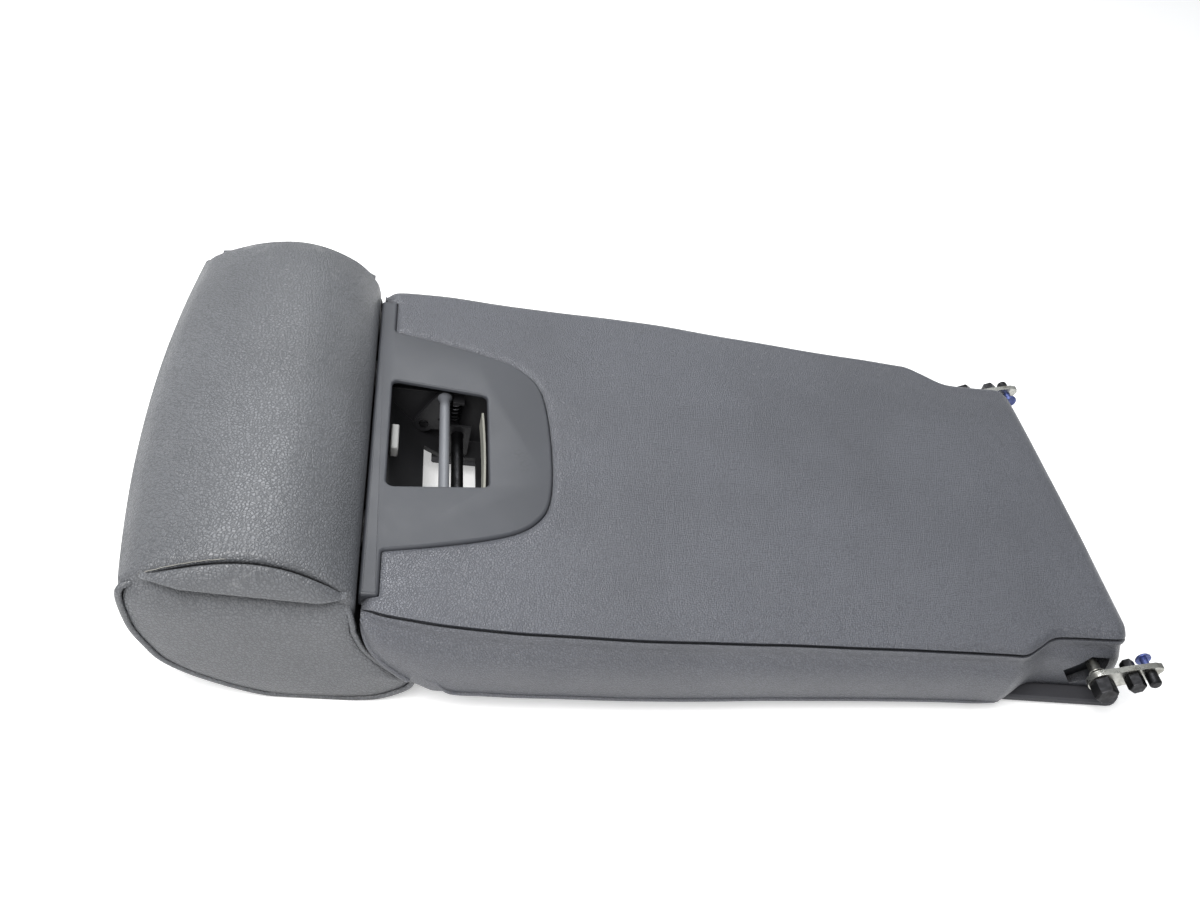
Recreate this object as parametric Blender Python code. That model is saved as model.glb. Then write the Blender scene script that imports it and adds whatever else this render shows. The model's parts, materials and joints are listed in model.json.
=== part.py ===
"""Rear seat armrest: the middle section of a rear backrest, laid down with its front face up.

Metres, +Z up. Pieces are drawn in the panel's own frame: origin at the middle of the panel's head
end, on its top face, +X towards the hinges, +Y to the far side. One empty tilts that frame so that
the head restraint and the back board both touch the ground, and centres it over the origin.
"""

import math

import bmesh
import bpy
import numpy as np
from mathutils import Matrix, Vector

# Fit between touching pieces, and the rounding of small moulded pieces
GAP = 0.0003
SMALL_EDGE = 0.0007

# Padded panel's sides: (distance from the head end, half width beyond the bezel's strip, drop of the edge
# below the crown). The places are for a notch at DRAWN_NOTCH; past SIDE_START they stretch with the panel.
PANEL_SIDE = (
    (0.002, 0.0130, 0.0000),
    (0.012, 0.0170, 0.0000),
    (0.026, 0.0190, 0.0004),
    (0.048, 0.0208, 0.0014),
    (0.080, 0.0212, 0.0028),
    (0.115, 0.0210, 0.0038),
    (0.157, 0.0200, 0.0050),
    (0.196, 0.0178, 0.0068),
    (0.240, 0.0140, 0.0092),
    (0.290, 0.0100, 0.0110),
    (0.340, 0.0062, 0.0112),
)
SIDE_START = 0.048
DRAWN_NOTCH = 0.396

# Its notches: (distance past the notch's start, half width beyond the hinge bracket, drop of the edge)
PANEL_NOTCH = (
    (-0.011, 0.0206, 0.0098),
    (0.000, 0.0192, 0.0090),
    (0.011, 0.0130, 0.0070),
    (0.022, 0.0076, 0.0056),
    (0.034, 0.0060, 0.0046),
)
NOTCH_END_WIDTH = 0.0058
NOTCH_END_DROP = 0.0036
NOTCH_LENGTH = 0.077
PANEL_LENGTH = 0.473
PANEL_END_ROUND = 0.011
PANEL_DEPTH = 0.0555
PANEL_EDGE = 0.009
PANEL_SIDE_BULGE = 0.0030
PANEL_END_EDGE = 0.010
PANEL_END_LEAN = 0.010
PANEL_LEAN_SPAN = 0.037
PANEL_END_CORNER = 0.012

# Side profile of the panel's head end, from its top edge round to its underside
HEAD_PROFILE = (
    (0.0000, 0.0000),
    (0.0016, -0.0050),
    (0.0042, -0.0170),
    (0.0085, -0.0270),
    (0.0175, -0.0375),
    (0.0275, -0.0460),
    (0.0360, -0.0510),
    (0.0450, -0.0555),
)

# Back board
BOARD_THICKNESS = 0.0055
BOARD_START = 0.042
BOARD_OVERHANG = 0.017
BOARD_SIDE = ((0.042, -0.0150), (0.060, 0.0100), (0.200, 0.0095), (0.300, 0.0020), (0.400, -0.0015))
BOARD_END_BEYOND = 0.016
BOARD_CORNER = 0.012
BOARD_EDGE = 0.0012

# Steel frame
TUBE_RADIUS = 0.009
TUBE_WALL = 0.002
FRAME_TOP_X = 0.096
FRAME_END_ROOM = 0.024
FRAME_BEND = 0.030
STRAP_X = 0.300
STRAP_HALF = 0.010
STRAP_THICKNESS = 0.004
CROSS_TUBE_ROOM = 0.038
CROSS_TUBE_RADIUS = 0.007
SADDLE_HALF = 0.010
SADDLE_THICKNESS = 0.008
POCKET_START = 0.084
POCKET_END_WALL = 0.009

# Bezel in the head end
BEZEL_WALL = 0.0025
BEZEL_DEPTH = 0.0090
BEZEL_EDGE = 0.0014
STRIP_HALF = 0.1330
STRIP_WIDTH = 0.0105
BEZEL_CURVE = (
    (0.0120, 0.0998),
    (0.0390, 0.0938),
    (0.0680, 0.0858),
    (0.0880, 0.0778),
    (0.1000, 0.0676),
    (0.1074, 0.0535),
    (0.1108, 0.0300),
    (0.1118, 0.0000),
)
BEZEL_REVEAL = 0.0012
END_WALL_BOTTOM = -0.034
WINDOW_START = 0.0105
WINDOW_END = 0.0715
WINDOW_ARM_COVER = 0.001
WINDOW_TAPER = 0.0055
WINDOW_CORNER = 0.0045
WINDOW_WALL = 0.0018

# Latch housing under the window
HOUSING_START = 0.0085
HOUSING_END = 0.084
HOUSING_POST_ROOM = 0.0125
HOUSING_TOP = -0.0125
HOUSING_WALL = 0.002
HOUSING_FLOOR = 0.0025
SLOT_START = 0.0345
SLOT_END = 0.071
SLOT_ARM_ROOM = 0.0005
SLOT_WEB_ROOM = 0.0025
SLOT_WALL_END = 0.0465
SLOT_WALL_TOP = -0.0455
EAR_INSET = 0.0175
EAR_HALF = 0.010
PIN_WEB_INSET = 0.0085
PIN_WEB_HALF = 0.0085
PIN_WEB_THICKNESS = 0.002

# Release lever, hook and the link between them
BAR_X = 0.0455
BAR_Z = -0.012
BAR_RADIUS = 0.0033
BAR_FLARE = 0.0050
BAR_FLARE_LENGTH = 0.0045
LEVER_X = 0.034
LEVER_Z = -0.036
ARM_WALL_ROOM = 0.008
ARM_THICKNESS = 0.003
LEVER_PIN_RADIUS = 0.003
HOOK_X = 0.0565
HOOK_PIN_RADIUS = 0.004
HOOK_THICKNESS = 0.006
CLIP_START = 0.0013
CLIP_END = 0.0035
CLIP_RADIUS = 0.0055
CRANK = (0.004, 0.010)
CRANK_PIN_RADIUS = 0.0023
HOOK_BOSS = 0.0078
CRANK_EYE = 0.0045
LINK_EYE = 0.0038
LINK_THICKNESS = 0.0025
LINK_PLAY = 0.0008
ARM_BOSS = 0.0068
SWING_ROOM = 0.013
SWING_SIDE = 0.003
TAIL_REACH = 0.0195
TAIL_RADIUS = 0.004
THROAT_RADIUS = 0.0046

# Return spring
SPRING_RADIUS = 0.0034
SPRING_WIRE = 0.0006
SPRING_TURNS = 5
SHELF_UNDER = -0.0148
SHELF_HALF = 0.0050

# Stop pad on the housing's head-side wall
STOP_PAD = (0.0047, 0.023, 0.008)
STOP_PAD_X = 0.0124
STOP_PAD_Y = 0.0085
STOP_PAD_Z = -0.0162

# Head restraint: crown outline across its top, then the rest of its side outline
CREST = (
    (-0.1205, 0.0075),
    (-0.1130, 0.0162),
    (-0.1000, 0.0247),
    (-0.0860, 0.0314),
    (-0.0740, 0.0355),
    (-0.0604, 0.0380),
    (-0.0470, 0.0375),
    (-0.0335, 0.0338),
    (-0.0200, 0.0266),
    (-0.0115, 0.0195),
    (-0.0055, 0.0105),
    (-0.0032, 0.0015),
)
REST_LIP = ((0.0340, -0.0540), (0.0352, -0.0575), (0.0320, -0.0635))
REST_BELLY = (
    (0.0205, -0.0712),
    (0.0090, -0.0745),
    (-0.0130, -0.0762),
    (-0.0350, -0.0762),
    (-0.0570, -0.0715),
    (-0.0838, -0.0604),
    (-0.1005, -0.0490),
    (-0.1090, -0.0370),
    (-0.1153, -0.0250),
    (-0.1187, -0.0130),
    (-0.1208, -0.0010),
)
REST_CLEARANCE = 0.0028
REST_HALF = 0.149
REST_SEAM = 0.1435
REST_SEAM_RISE = 0.80
REST_BOW = 0.0035
POST_HALF = 0.070
POST_Z = -0.018
POST_RADIUS = 0.006
POST_END = 0.104
POST_NOTCHES = 3
POST_NOTCH_PITCH = 0.018
POST_NOTCH_DEPTH = 0.0012
CROSSBAR_X = -0.066
CROSSBAR_BEND = 0.026
REST_TRAVEL = 0.054

# Guide sleeves and button
SLEEVE_WALL = 0.0022
SLEEVE_END = 0.108
COLLAR_START = -0.0085
COLLAR_SIZE = (0.030, 0.0168)
BUTTON_SIZE = (0.0050, 0.0066, 0.010)
BUTTON_TRAVEL = 0.003
COLLAR_ROOM = 0.0022

# Hinges
PIVOT_END_ROOM = 0.0155
PIVOT_Z = -0.031
BRACKET_INNER = 0.112
BRACKET_THICKNESS = 0.004
BRACKET_BACK_ROOM = 0.049
BRACKET_FRONT_ROOM = 0.004
BRACKET_TOP = -0.018
PIVOT_RADIUS = 0.0025
SPACER_RADIUS = 0.0036
SPACER_END = 0.1285
WASHER_RADIUS = 0.0050
WASHER_THICKNESS = 0.0012
LINK_INNER = 0.1328
LINK_PLATE = 0.004
HEAD_FLAT = 0.0130
HEAD_LENGTH = 0.0105
ARM_ANGLE = math.radians(22.6)
ARM_HALF = 0.0070
SECOND_BOLT = 0.0195
SECOND_RADIUS = 0.0022
SECOND_FLAT = 0.0100
SECOND_HEAD = 0.0085
SECOND_NUT_FLAT = 0.0080
SECOND_NUT = 0.0075
NUT_ROOM = 0.0085
STUD = 0.0305
STUD_RADIUS = 0.0024
STUD_HEAD_RADIUS = 0.0050
STUD_HEAD_INNER = 0.1240
STUD_HEAD_THICKNESS = 0.0018
STUD_CAP_RADIUS = 0.0038
STUD_CAP_LENGTH = 0.0085
ARM_TIP = 0.0385
PIVOT_NUT_FLAT = 0.0100
PIVOT_NUT = 0.0050
CLEAR = 0.0003

# Screws
SCREW_RADIUS = 0.0025
SCREW_HEAD_RADIUS = 0.0050
SCREW_LENGTH = 0.013
BOARD_SCREW_HEAD = 0.150
BOARD_SCREW_HINGE = 0.068
BRACKET_SCREWS = (0.0270, 0.0145)
EAR_BOLT_RADIUS = 0.003
EAR_BOLT_FLAT = 0.010
EAR_BOLT_HEAD = 0.004

# Worked out from the sizes above
NOTCH_START = PANEL_LENGTH - NOTCH_LENGTH
PIVOT_X = PANEL_LENGTH - PIVOT_END_ROOM
FRAME_END_X = PANEL_LENGTH - FRAME_END_ROOM
CROSS_TUBE_X = PANEL_LENGTH - CROSS_TUBE_ROOM
POCKET_END = PANEL_LENGTH - POCKET_END_WALL
BRACKET_BACK = PANEL_LENGTH - BRACKET_BACK_ROOM
BRACKET_FRONT = PANEL_LENGTH - BRACKET_FRONT_ROOM
BOARD_END = PANEL_LENGTH + BOARD_OVERHANG
BOARD_SCREW_X = (BOARD_SCREW_HEAD, PANEL_LENGTH - BOARD_SCREW_HINGE)
BRACKET_SCREW_X = tuple(PIVOT_X - distance for distance in BRACKET_SCREWS)
BELOW_PANEL = -PANEL_DEPTH - 0.0145
HOUSING_HALF = POST_HALF - HOUSING_POST_ROOM
ARM_INNER = HOUSING_HALF - ARM_WALL_ROOM
EAR_Y = HOUSING_HALF - EAR_INSET
PIN_WEB_Y = ARM_INNER - PIN_WEB_INSET
SLOT_NEAR = -ARM_INNER + SLOT_ARM_ROOM
SLOT_FAR = PIN_WEB_Y - SLOT_WEB_ROOM
WINDOW_HALF_HEAD = ARM_INNER - WINDOW_ARM_COVER
WINDOW_HALF_HINGE = WINDOW_HALF_HEAD - WINDOW_TAPER
BOARD_TOP = -PANEL_DEPTH - GAP
BOARD_BOTTOM = BOARD_TOP - BOARD_THICKNESS
TUBE_Z = BOARD_TOP + GAP + TUBE_RADIUS
TUBE_TOP = TUBE_Z + TUBE_RADIUS
FRAME_HALF = BRACKET_INNER - GAP - TUBE_RADIUS
HOUSING_BOTTOM = BOARD_TOP + GAP
FLOOR_TOP = HOUSING_BOTTOM + HOUSING_FLOOR
SADDLE_TOP = POST_Z - 0.002
BAR_REACH = ARM_INNER + ARM_THICKNESS
LINK_FAR = -ARM_INNER + LINK_PLAY + LINK_THICKNESS
HOOK_NEAR = LINK_FAR + LINK_PLAY
SLEEVE_BORE = POST_RADIUS + CLEAR
SLEEVE_RADIUS = SLEEVE_BORE + SLEEVE_WALL
LINK_OUTER = LINK_INNER + LINK_PLATE
BRACKET_OUTER = BRACKET_INNER + BRACKET_THICKNESS
BOARD_END_HALF = BRACKET_OUTER + BOARD_END_BEYOND
LOW_POINT = min(REST_BELLY, key=lambda point: point[1])
TILT = math.atan2(BOARD_BOTTOM - LOW_POINT[1], BOARD_END - LOW_POINT[0])


def clear_scene():
    for old in list(bpy.data.objects):
        bpy.data.objects.remove(old, do_unlink=True)


def srgb(red, green, blue):
    """A colour as it is seen, 0 to 255, turned into the linear values that a shader takes."""
    linear = [((value / 255 + 0.055) / 1.055) ** 2.4 for value in (red, green, blue)]
    return (*linear, 1.0)


def material(name, colour, roughness, metallic=0.0):
    made = bpy.data.materials.new(name)
    made.use_nodes = True
    shader = made.node_tree.nodes["Principled BSDF"]
    shader.inputs["Base Color"].default_value = colour
    shader.inputs["Roughness"].default_value = roughness
    shader.inputs["Metallic"].default_value = metallic
    return made


def smooth_curve(points, steps):
    """Points along a smooth open curve through the given ones (Catmull-Rom)."""
    points = [Vector(point) for point in points]
    padded = [2 * points[0] - points[1], *points, 2 * points[-1] - points[-2]]
    curve = []
    for before, start, end, after in zip(padded, padded[1:], padded[2:], padded[3:]):
        for step in range(steps):
            t = step / steps
            curve.append(
                0.5
                * (
                    2 * start
                    + (end - before) * t
                    + (2 * before - 5 * start + 4 * end - after) * t**2
                    + (3 * start - before - 3 * end + after) * t**3
                )
            )
    return [*curve, points[-1]]


def value_along(points, x, column=1, steps=6):
    """The height of a smooth curve through the points at x."""
    curve = smooth_curve([(point[0], point[column]) for point in points], steps)
    return float(np.interp(x, [p[0] for p in curve], [p[1] for p in curve]))


def arc(centre, radius, start, end, steps):
    """Points of an arc, from the start angle to the end angle in degrees."""
    angles = np.radians(np.linspace(start, end, steps + 1))
    return [(centre[0] + radius * math.cos(a), centre[1] + radius * math.sin(a)) for a in angles]


def mirrored(half):
    """A closed outline from its half with y of 0 or more."""
    other = [(x, -y) for x, y in reversed(half) if y > 1e-9]
    return [*half, *other]


def inset(outline, distance):
    """The outline moved inwards by a distance, whichever way round it runs."""
    count = len(outline)
    area = sum(
        outline[i][0] * outline[(i + 1) % count][1] - outline[(i + 1) % count][0] * outline[i][1]
        for i in range(count)
    )
    side = 1 if area > 0 else -1
    moved = []
    for i in range(count):
        before, here, after = (Vector(outline[(i + k) % count]) for k in (-1, 0, 1))
        first = (here - before).normalized()
        second = (after - here).normalized()
        normal = (Vector((-first.y, first.x)) + Vector((-second.y, second.x))).normalized()
        cosine = max(0.4, normal.dot(Vector((-first.y, first.x))))
        moved.append(tuple(here + normal * (side * distance / cosine)))
    return moved


def loft(rings, looped=False):
    """A closed skin through rings with equal numbers of points, capped at its ends."""
    shape = bmesh.new()
    rows = [[shape.verts.new(point) for point in ring] for ring in rings]
    pairs = list(zip(rows, rows[1:]))
    if looped:
        pairs.append((rows[-1], rows[0]))
    for low, high in pairs:
        for i in range(len(low)):
            j = (i + 1) % len(low)
            shape.faces.new((low[i], low[j], high[j], high[i]))
    if not looped:
        shape.faces.new(list(reversed(rows[0])))
        shape.faces.new(rows[-1])
    bmesh.ops.recalc_face_normals(shape, faces=shape.faces)
    return shape


def in_plane(axis, point, height):
    """A point of a flat outline, lifted along the axis that it is drawn across."""
    first, second = point
    return {"X": (height, first, second), "Y": (first, height, second), "Z": (first, second, height)}[axis]


def prism(outline, low, high, axis="Z"):
    return loft([[in_plane(axis, point, height) for point in outline] for height in (low, high)])


def box(low, high):
    outline = [(low[0], low[1]), (high[0], low[1]), (high[0], high[1]), (low[0], high[1])]
    return prism(outline, low[2], high[2])


def turned(profile, centre, axis="Y", sides=24, hollow=False):
    """A round piece: profile holds (distance along the axis, radius), centre the axis's place."""
    rings = []
    for height, radius in profile:
        circle = arc(centre, radius, 0, 360, sides)[:-1]
        rings.append([in_plane(axis, point, height) for point in circle])
    return loft(rings, looped=hollow)


def tube_profile(start, end, bore, radius):
    return [(start, bore), (start, radius), (end, radius), (end, bore)]


def hexagon(centre, flat):
    radius = flat / math.sqrt(3)
    return arc(centre, radius, 30, 390, 6)[:-1]


def hex_head(centre, flat, base, top, axis="Y"):
    """A hexagonal head with its outer corners chamfered."""
    full = hexagon(centre, flat)
    small = hexagon(centre, flat * 0.86)
    chamfer = (top - base) * 0.14
    levels = ((base, full), (top - chamfer, full), (top, small))
    return loft([[in_plane(axis, point, height) for point in ring] for height, ring in levels])


def sweep(path, radius, sides=12):
    """A round bar along a path, with flat ends."""
    path = [Vector(point) for point in path]
    tangents = [(b - a).normalized() for a, b in zip(path, path[1:])]
    tangents = [tangents[0]] + [(a + b).normalized() for a, b in zip(tangents, tangents[1:])] + [tangents[-1]]
    side = tangents[0].orthogonal().normalized()
    rings = []
    for point, tangent in zip(path, tangents):
        side = (side - tangent * side.dot(tangent)).normalized()
        other = tangent.cross(side)
        ring = []
        for k in range(sides):
            angle = 2 * math.pi * k / sides
            ring.append(point + radius * (math.cos(angle) * side + math.sin(angle) * other))
        rings.append(ring)
    return loft(rings)


def bent_path(corners, bend, steps=6):
    """A path through corners in the plane of the panel, each corner rounded to the bend radius."""
    corners = [Vector(corner) for corner in corners]
    path = [corners[0]]
    for before, here, after in zip(corners, corners[1:], corners[2:]):
        first = (before - here).normalized()
        second = (after - here).normalized()
        half = first.angle(second) / 2
        centre = here + (first + second).normalized() * (bend / math.sin(half))
        start = here + first * (bend / math.tan(half)) - centre
        end = here + second * (bend / math.tan(half)) - centre
        across = (end - start * start.dot(end) / bend**2).normalized() * bend
        for step in range(steps + 1):
            angle = start.angle(end) * step / steps
            path.append(centre + start * math.cos(angle) + across * math.sin(angle))
    return [*path, corners[-1]]


class Builder:
    """Puts meshes into the scene under the panel's empty or under a joint's empty."""

    def __init__(self):
        self.root = self.empty("panel_frame", (0, 0, 0), None)
        self.joints = {}

    def empty(self, name, place, parent):
        holder = bpy.data.objects.new(name, None)
        holder.location = place
        holder.parent = parent
        holder.empty_display_size = 0.02
        bpy.context.scene.collection.objects.link(holder)
        return holder

    def joint(self, name, place):
        self.joints[name] = self.empty(name, place, self.root)
        return self.joints[name]

    def add(self, name, shape, finish=None, joint=None):
        mesh = bpy.data.meshes.new(name)
        holder = joint or self.root
        if joint:
            bmesh.ops.translate(shape, vec=-joint.location, verts=shape.verts)
        shape.to_mesh(mesh)
        shape.free()
        piece = bpy.data.objects.new(name, mesh)
        piece.parent = holder
        bpy.context.scene.collection.objects.link(piece)
        if finish:
            mesh.materials.append(finish)
            mesh.shade_smooth()
            mesh.set_sharp_from_angle(angle=math.radians(35))
        else:
            piece.hide_render = True
            piece.display_type = "WIRE"
        return piece

    def change(self, piece, shape, operation, label, joint=None):
        """A Boolean with a hidden helper made from the shape."""
        helper = self.add(f"helper_{piece.name}_{label}", shape, joint=joint)
        step = piece.modifiers.new(label, "BOOLEAN")
        step.operation = operation
        step.solver = "EXACT"
        step.object = helper
        return helper

    def cut(self, piece, shape, label, joint=None):
        return self.change(piece, shape, "DIFFERENCE", label, joint)

    def join(self, piece, shape, label, joint=None):
        return self.change(piece, shape, "UNION", label, joint)


def head_profile_at(x):
    """How low the panel's side reaches at x near its head end."""
    return float(np.interp(x, [p[0] for p in HEAD_PROFILE], [p[1] for p in HEAD_PROFILE]))


def along_side(x):
    """A place along the panel's side, stretched with the panel between its head end and its notch."""
    stretch = (NOTCH_START - SIDE_START) / (DRAWN_NOTCH - SIDE_START)
    return x if x <= SIDE_START else SIDE_START + (x - SIDE_START) * stretch


def panel_stations():
    """(distance from the head end, half width, drop of the edge) along the whole panel."""
    side = [(along_side(x), STRIP_HALF + beyond, drop) for x, beyond, drop in PANEL_SIDE]
    notch = [(NOTCH_START + past, BRACKET_OUTER + beyond, drop) for past, beyond, drop in PANEL_NOTCH]
    end = (PANEL_LENGTH - PANEL_END_ROUND, BRACKET_OUTER + NOTCH_END_WIDTH, NOTCH_END_DROP)
    return [*side, *notch, end]


def panel_section(x, width, drop, top, bottom):
    """One cross-section of the padded panel, from the middle of its top round to the middle again."""
    flat = width - PANEL_EDGE
    half = []
    for step in range(8):
        t = step / 7
        half.append((flat * t, top - drop * t**3))
    edge = top - drop - PANEL_EDGE
    edge = max(edge, bottom + 0.3 * (top - drop - bottom))
    rise = top - drop - edge
    for angle in (65, 40, 15):
        turn = math.radians(angle)
        half.append((flat + PANEL_EDGE * math.cos(turn), edge + rise * math.sin(turn)))
    for t in (0.12, 0.35, 0.6, 0.85):
        half.append((width + PANEL_SIDE_BULGE * math.sin(math.pi * t), edge + (bottom - edge) * t))
    half.append((width - 0.0015, bottom))
    half.append((0.6 * width, bottom))
    half.append((0.2 * width, bottom))
    ring = [*half, *[(-y, z) for y, z in reversed(half[1:])]]
    weight = min(1.0, max(0.0, 1 - (PANEL_LENGTH - x) / PANEL_LEAN_SPAN))
    return [(x + PANEL_END_LEAN * weight * (-z / PANEL_DEPTH), y, z) for y, z in ring]


def panel_rings():
    """Cross-sections of the padded panel from its head end to its hinge end."""
    stations = panel_stations()
    last, last_width, last_drop = stations[-1]
    head = [0.002, 0.0035, 0.006, 0.010, 0.016, 0.022, 0.029, 0.037, 0.046]
    middle = (0.060, 0.080, 0.110, 0.150, 0.190, 0.230, 0.270, 0.310, 0.350, 0.385)
    middle = [along_side(x) for x in middle]
    notch = [NOTCH_START + past for past in (0.0, 0.0055, 0.011, 0.0165, 0.022, 0.034, 0.050)]
    rings = []
    for x in [*head, *middle, *notch, last]:
        width = value_along(stations, x)
        drop = max(0.0, value_along(stations, x, column=2))
        near_end = max(0.0, 1 - (x - head[0]) / 0.008)
        top = -0.004 * near_end**2
        rings.append(panel_section(x, width, drop, top, head_profile_at(x)))
    for turn in (25, 50, 75, 90):
        angle = math.radians(turn)
        x = last + (PANEL_LENGTH - last) * math.sin(angle)
        fall = 1 - math.cos(angle)
        width = last_width - PANEL_END_CORNER * fall
        drop = last_drop * (1 - fall)
        top = -PANEL_END_EDGE * fall
        rings.append(panel_section(x, width, drop, top, -PANEL_DEPTH))
    return rings


def bezel_half():
    """Half of the bezel's outline seen from above: the strip's end, then the curved plate."""
    curve = [tuple(point) for point in smooth_curve(BEZEL_CURVE, 4)]
    corner = (STRIP_WIDTH, BEZEL_CURVE[0][1] + 0.0015)
    return [(0.0, STRIP_HALF), (STRIP_WIDTH, STRIP_HALF), corner, *curve]


def window_outline(grow=0.0):
    """The window's outline: a rectangle that narrows towards the hinges, with round corners."""
    head = (WINDOW_START - grow, WINDOW_HALF_HEAD + grow)
    hinge = (WINDOW_END + grow, WINDOW_HALF_HINGE + grow)
    radius = WINDOW_CORNER + grow
    half = [
        *arc((hinge[0] - radius, hinge[1] - radius), radius, 0, 90, 4),
        *arc((head[0] + radius, head[1] - radius), radius, 90, 180, 4),
    ]
    return [*half, *[(x, -y) for x, y in reversed(half)]]


def profile_sheet(thickness, outwards, bottom):
    """The head-end profile as a curved sheet's outline, down to a height."""
    curve = [(x, z) for x, z in HEAD_PROFILE if z > bottom]
    x = float(np.interp(-bottom, [-p[1] for p in HEAD_PROFILE], [p[0] for p in HEAD_PROFILE]))
    curve.append((x, bottom))
    outer = [(x + outwards, z) for x, z in curve]
    inner = [(x + outwards + thickness, z) for x, z in curve]
    return [*outer, *reversed(inner)]


def build_panel(builder, leather):
    pad = builder.add("seat_pad", loft(panel_rings()), leather)
    plate = inset(mirrored(bezel_half()), -GAP)
    builder.cut(pad, prism(plate, BELOW_PANEL, 0.01), "bezel_seat_deep")
    return pad


def finish_panel(builder, pad):
    """The pad's openings: the strip's recess, the hollow for the frame, and the pivots' ways out."""
    strip = box((-0.01, -STRIP_HALF - GAP, -BEZEL_DEPTH - GAP), (STRIP_WIDTH + GAP, STRIP_HALF + GAP, 0.01))
    builder.cut(pad, strip, "strip_recess")
    wall = profile_sheet(0.02 + BEZEL_WALL + GAP, -0.02, END_WALL_BOTTOM - GAP)
    builder.cut(pad, prism(wall, -STRIP_HALF - GAP, STRIP_HALF + GAP, "Y"), "end_wall_recess")
    pocket = box(
        (POCKET_START, -BRACKET_INNER, BELOW_PANEL),
        (POCKET_END, BRACKET_INNER, TUBE_TOP + GAP),
    )
    builder.cut(pad, pocket, "frame_hollow")
    for side, sign in (("near", -1), ("far", 1)):
        sleeve_room = turned(
            [(-0.01, SLEEVE_RADIUS + GAP), (SLEEVE_END + GAP, SLEEVE_RADIUS + GAP)],
            (sign * POST_HALF, POST_Z),
            "X",
        )
        builder.cut(pad, sleeve_room, f"{side}_sleeve_room")
        half_x = SADDLE_THICKNESS / 2 + GAP
        half_y = SADDLE_HALF + GAP
        saddle_room = box(
            (FRAME_TOP_X - half_x, sign * POST_HALF - half_y, TUBE_Z),
            (FRAME_TOP_X + half_x, sign * POST_HALF + half_y, SADDLE_TOP + GAP),
        )
        builder.cut(pad, saddle_room, f"{side}_saddle_room")
        low, high = sorted((sign * (BRACKET_INNER - NUT_ROOM), sign * (BRACKET_OUTER + GAP)))
        room = box((BRACKET_BACK - GAP, low, BELOW_PANEL), (BRACKET_FRONT + GAP, high, BRACKET_TOP + GAP))
        builder.cut(pad, room, f"{side}_bracket_room")
        opening = [
            (PIVOT_X - 0.0185, PIVOT_Z - 0.0055),
            (PIVOT_X - 0.0045, PIVOT_Z + 0.0075),
            (PIVOT_X + 0.0080, PIVOT_Z + 0.0075),
            (PIVOT_X + 0.0090, PIVOT_Z - 0.0090),
            (PIVOT_X - 0.0055, PIVOT_Z - 0.0210),
        ]
        low, high = sorted((sign * (BRACKET_OUTER - 0.001), sign * (LINK_INNER + 0.0022)))
        builder.cut(pad, prism(opening, low, high, "Y"), f"{side}_pivot_opening")


def build_board(builder, plastic):
    side = [(x, STRIP_HALF + beyond) for x, beyond in BOARD_SIDE]
    half = [(BOARD_START, 0.0), *[tuple(p) for p in smooth_curve(side, 4)]]
    corner = (BOARD_END - BOARD_CORNER, BOARD_END_HALF - BOARD_CORNER)
    half += [*arc(corner, BOARD_CORNER, 90, 0, 5), (BOARD_END, 0.0)]
    outline = mirrored(half)
    small = inset(outline, BOARD_EDGE)
    levels = (
        (BOARD_BOTTOM, small),
        (BOARD_BOTTOM + BOARD_EDGE, outline),
        (BOARD_TOP - BOARD_EDGE, outline),
        (BOARD_TOP, small),
    )
    board = builder.add("back_board", loft([[(x, y, z) for x, y in ring] for z, ring in levels]), plastic)
    margin = 0.001
    slot = box(
        (SLOT_START - margin, SLOT_NEAR - margin, BOARD_BOTTOM - 0.01),
        (SLOT_END + margin, SLOT_FAR + margin, BOARD_TOP + 0.01),
    )
    builder.cut(board, slot, "striker_slot")
    return board


def frame_path():
    """The U-shaped tube's centre line, from one open end round to the other."""
    corners = [
        (FRAME_END_X, -FRAME_HALF, TUBE_Z),
        (FRAME_TOP_X, -FRAME_HALF, TUBE_Z),
        (FRAME_TOP_X, FRAME_HALF, TUBE_Z),
        (FRAME_END_X, FRAME_HALF, TUBE_Z),
    ]
    return bent_path(corners, FRAME_BEND)


def build_frame(builder, steel):
    path = frame_path()
    frame = builder.add("back_frame", sweep(path, TUBE_RADIUS, 16), steel)
    strap = box(
        (STRAP_X - STRAP_HALF, -FRAME_HALF, TUBE_Z - STRAP_THICKNESS / 2),
        (STRAP_X + STRAP_HALF, FRAME_HALF, TUBE_Z + STRAP_THICKNESS / 2),
    )
    builder.join(frame, strap, "cross_strap")
    ends = [(-FRAME_HALF, CROSS_TUBE_RADIUS), (FRAME_HALF, CROSS_TUBE_RADIUS)]
    low_bar = turned(ends, (CROSS_TUBE_X, TUBE_Z), "Y", 16)
    builder.join(frame, low_bar, "lower_cross_tube")
    for side, sign in (("near", -1), ("far", 1)):
        saddle = box(
            (FRAME_TOP_X - SADDLE_THICKNESS / 2, sign * POST_HALF - SADDLE_HALF, TUBE_Z),
            (FRAME_TOP_X + SADDLE_THICKNESS / 2, sign * POST_HALF + SADDLE_HALF, SADDLE_TOP),
        )
        builder.join(frame, saddle, f"{side}_saddle")
        seat = turned(
            [(FRAME_TOP_X - 0.02, SLEEVE_RADIUS + GAP), (FRAME_TOP_X + 0.02, SLEEVE_RADIUS + GAP)],
            (sign * POST_HALF, POST_Z),
            "X",
        )
        builder.cut(frame, seat, f"{side}_saddle_seat")
    beyond = Vector((0.01, 0, 0))
    bore_path = [path[0] + beyond, *path[1:-1], path[-1] + beyond]
    builder.cut(frame, sweep(bore_path, TUBE_RADIUS - TUBE_WALL, 12), "tube_bore")
    return frame


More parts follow.
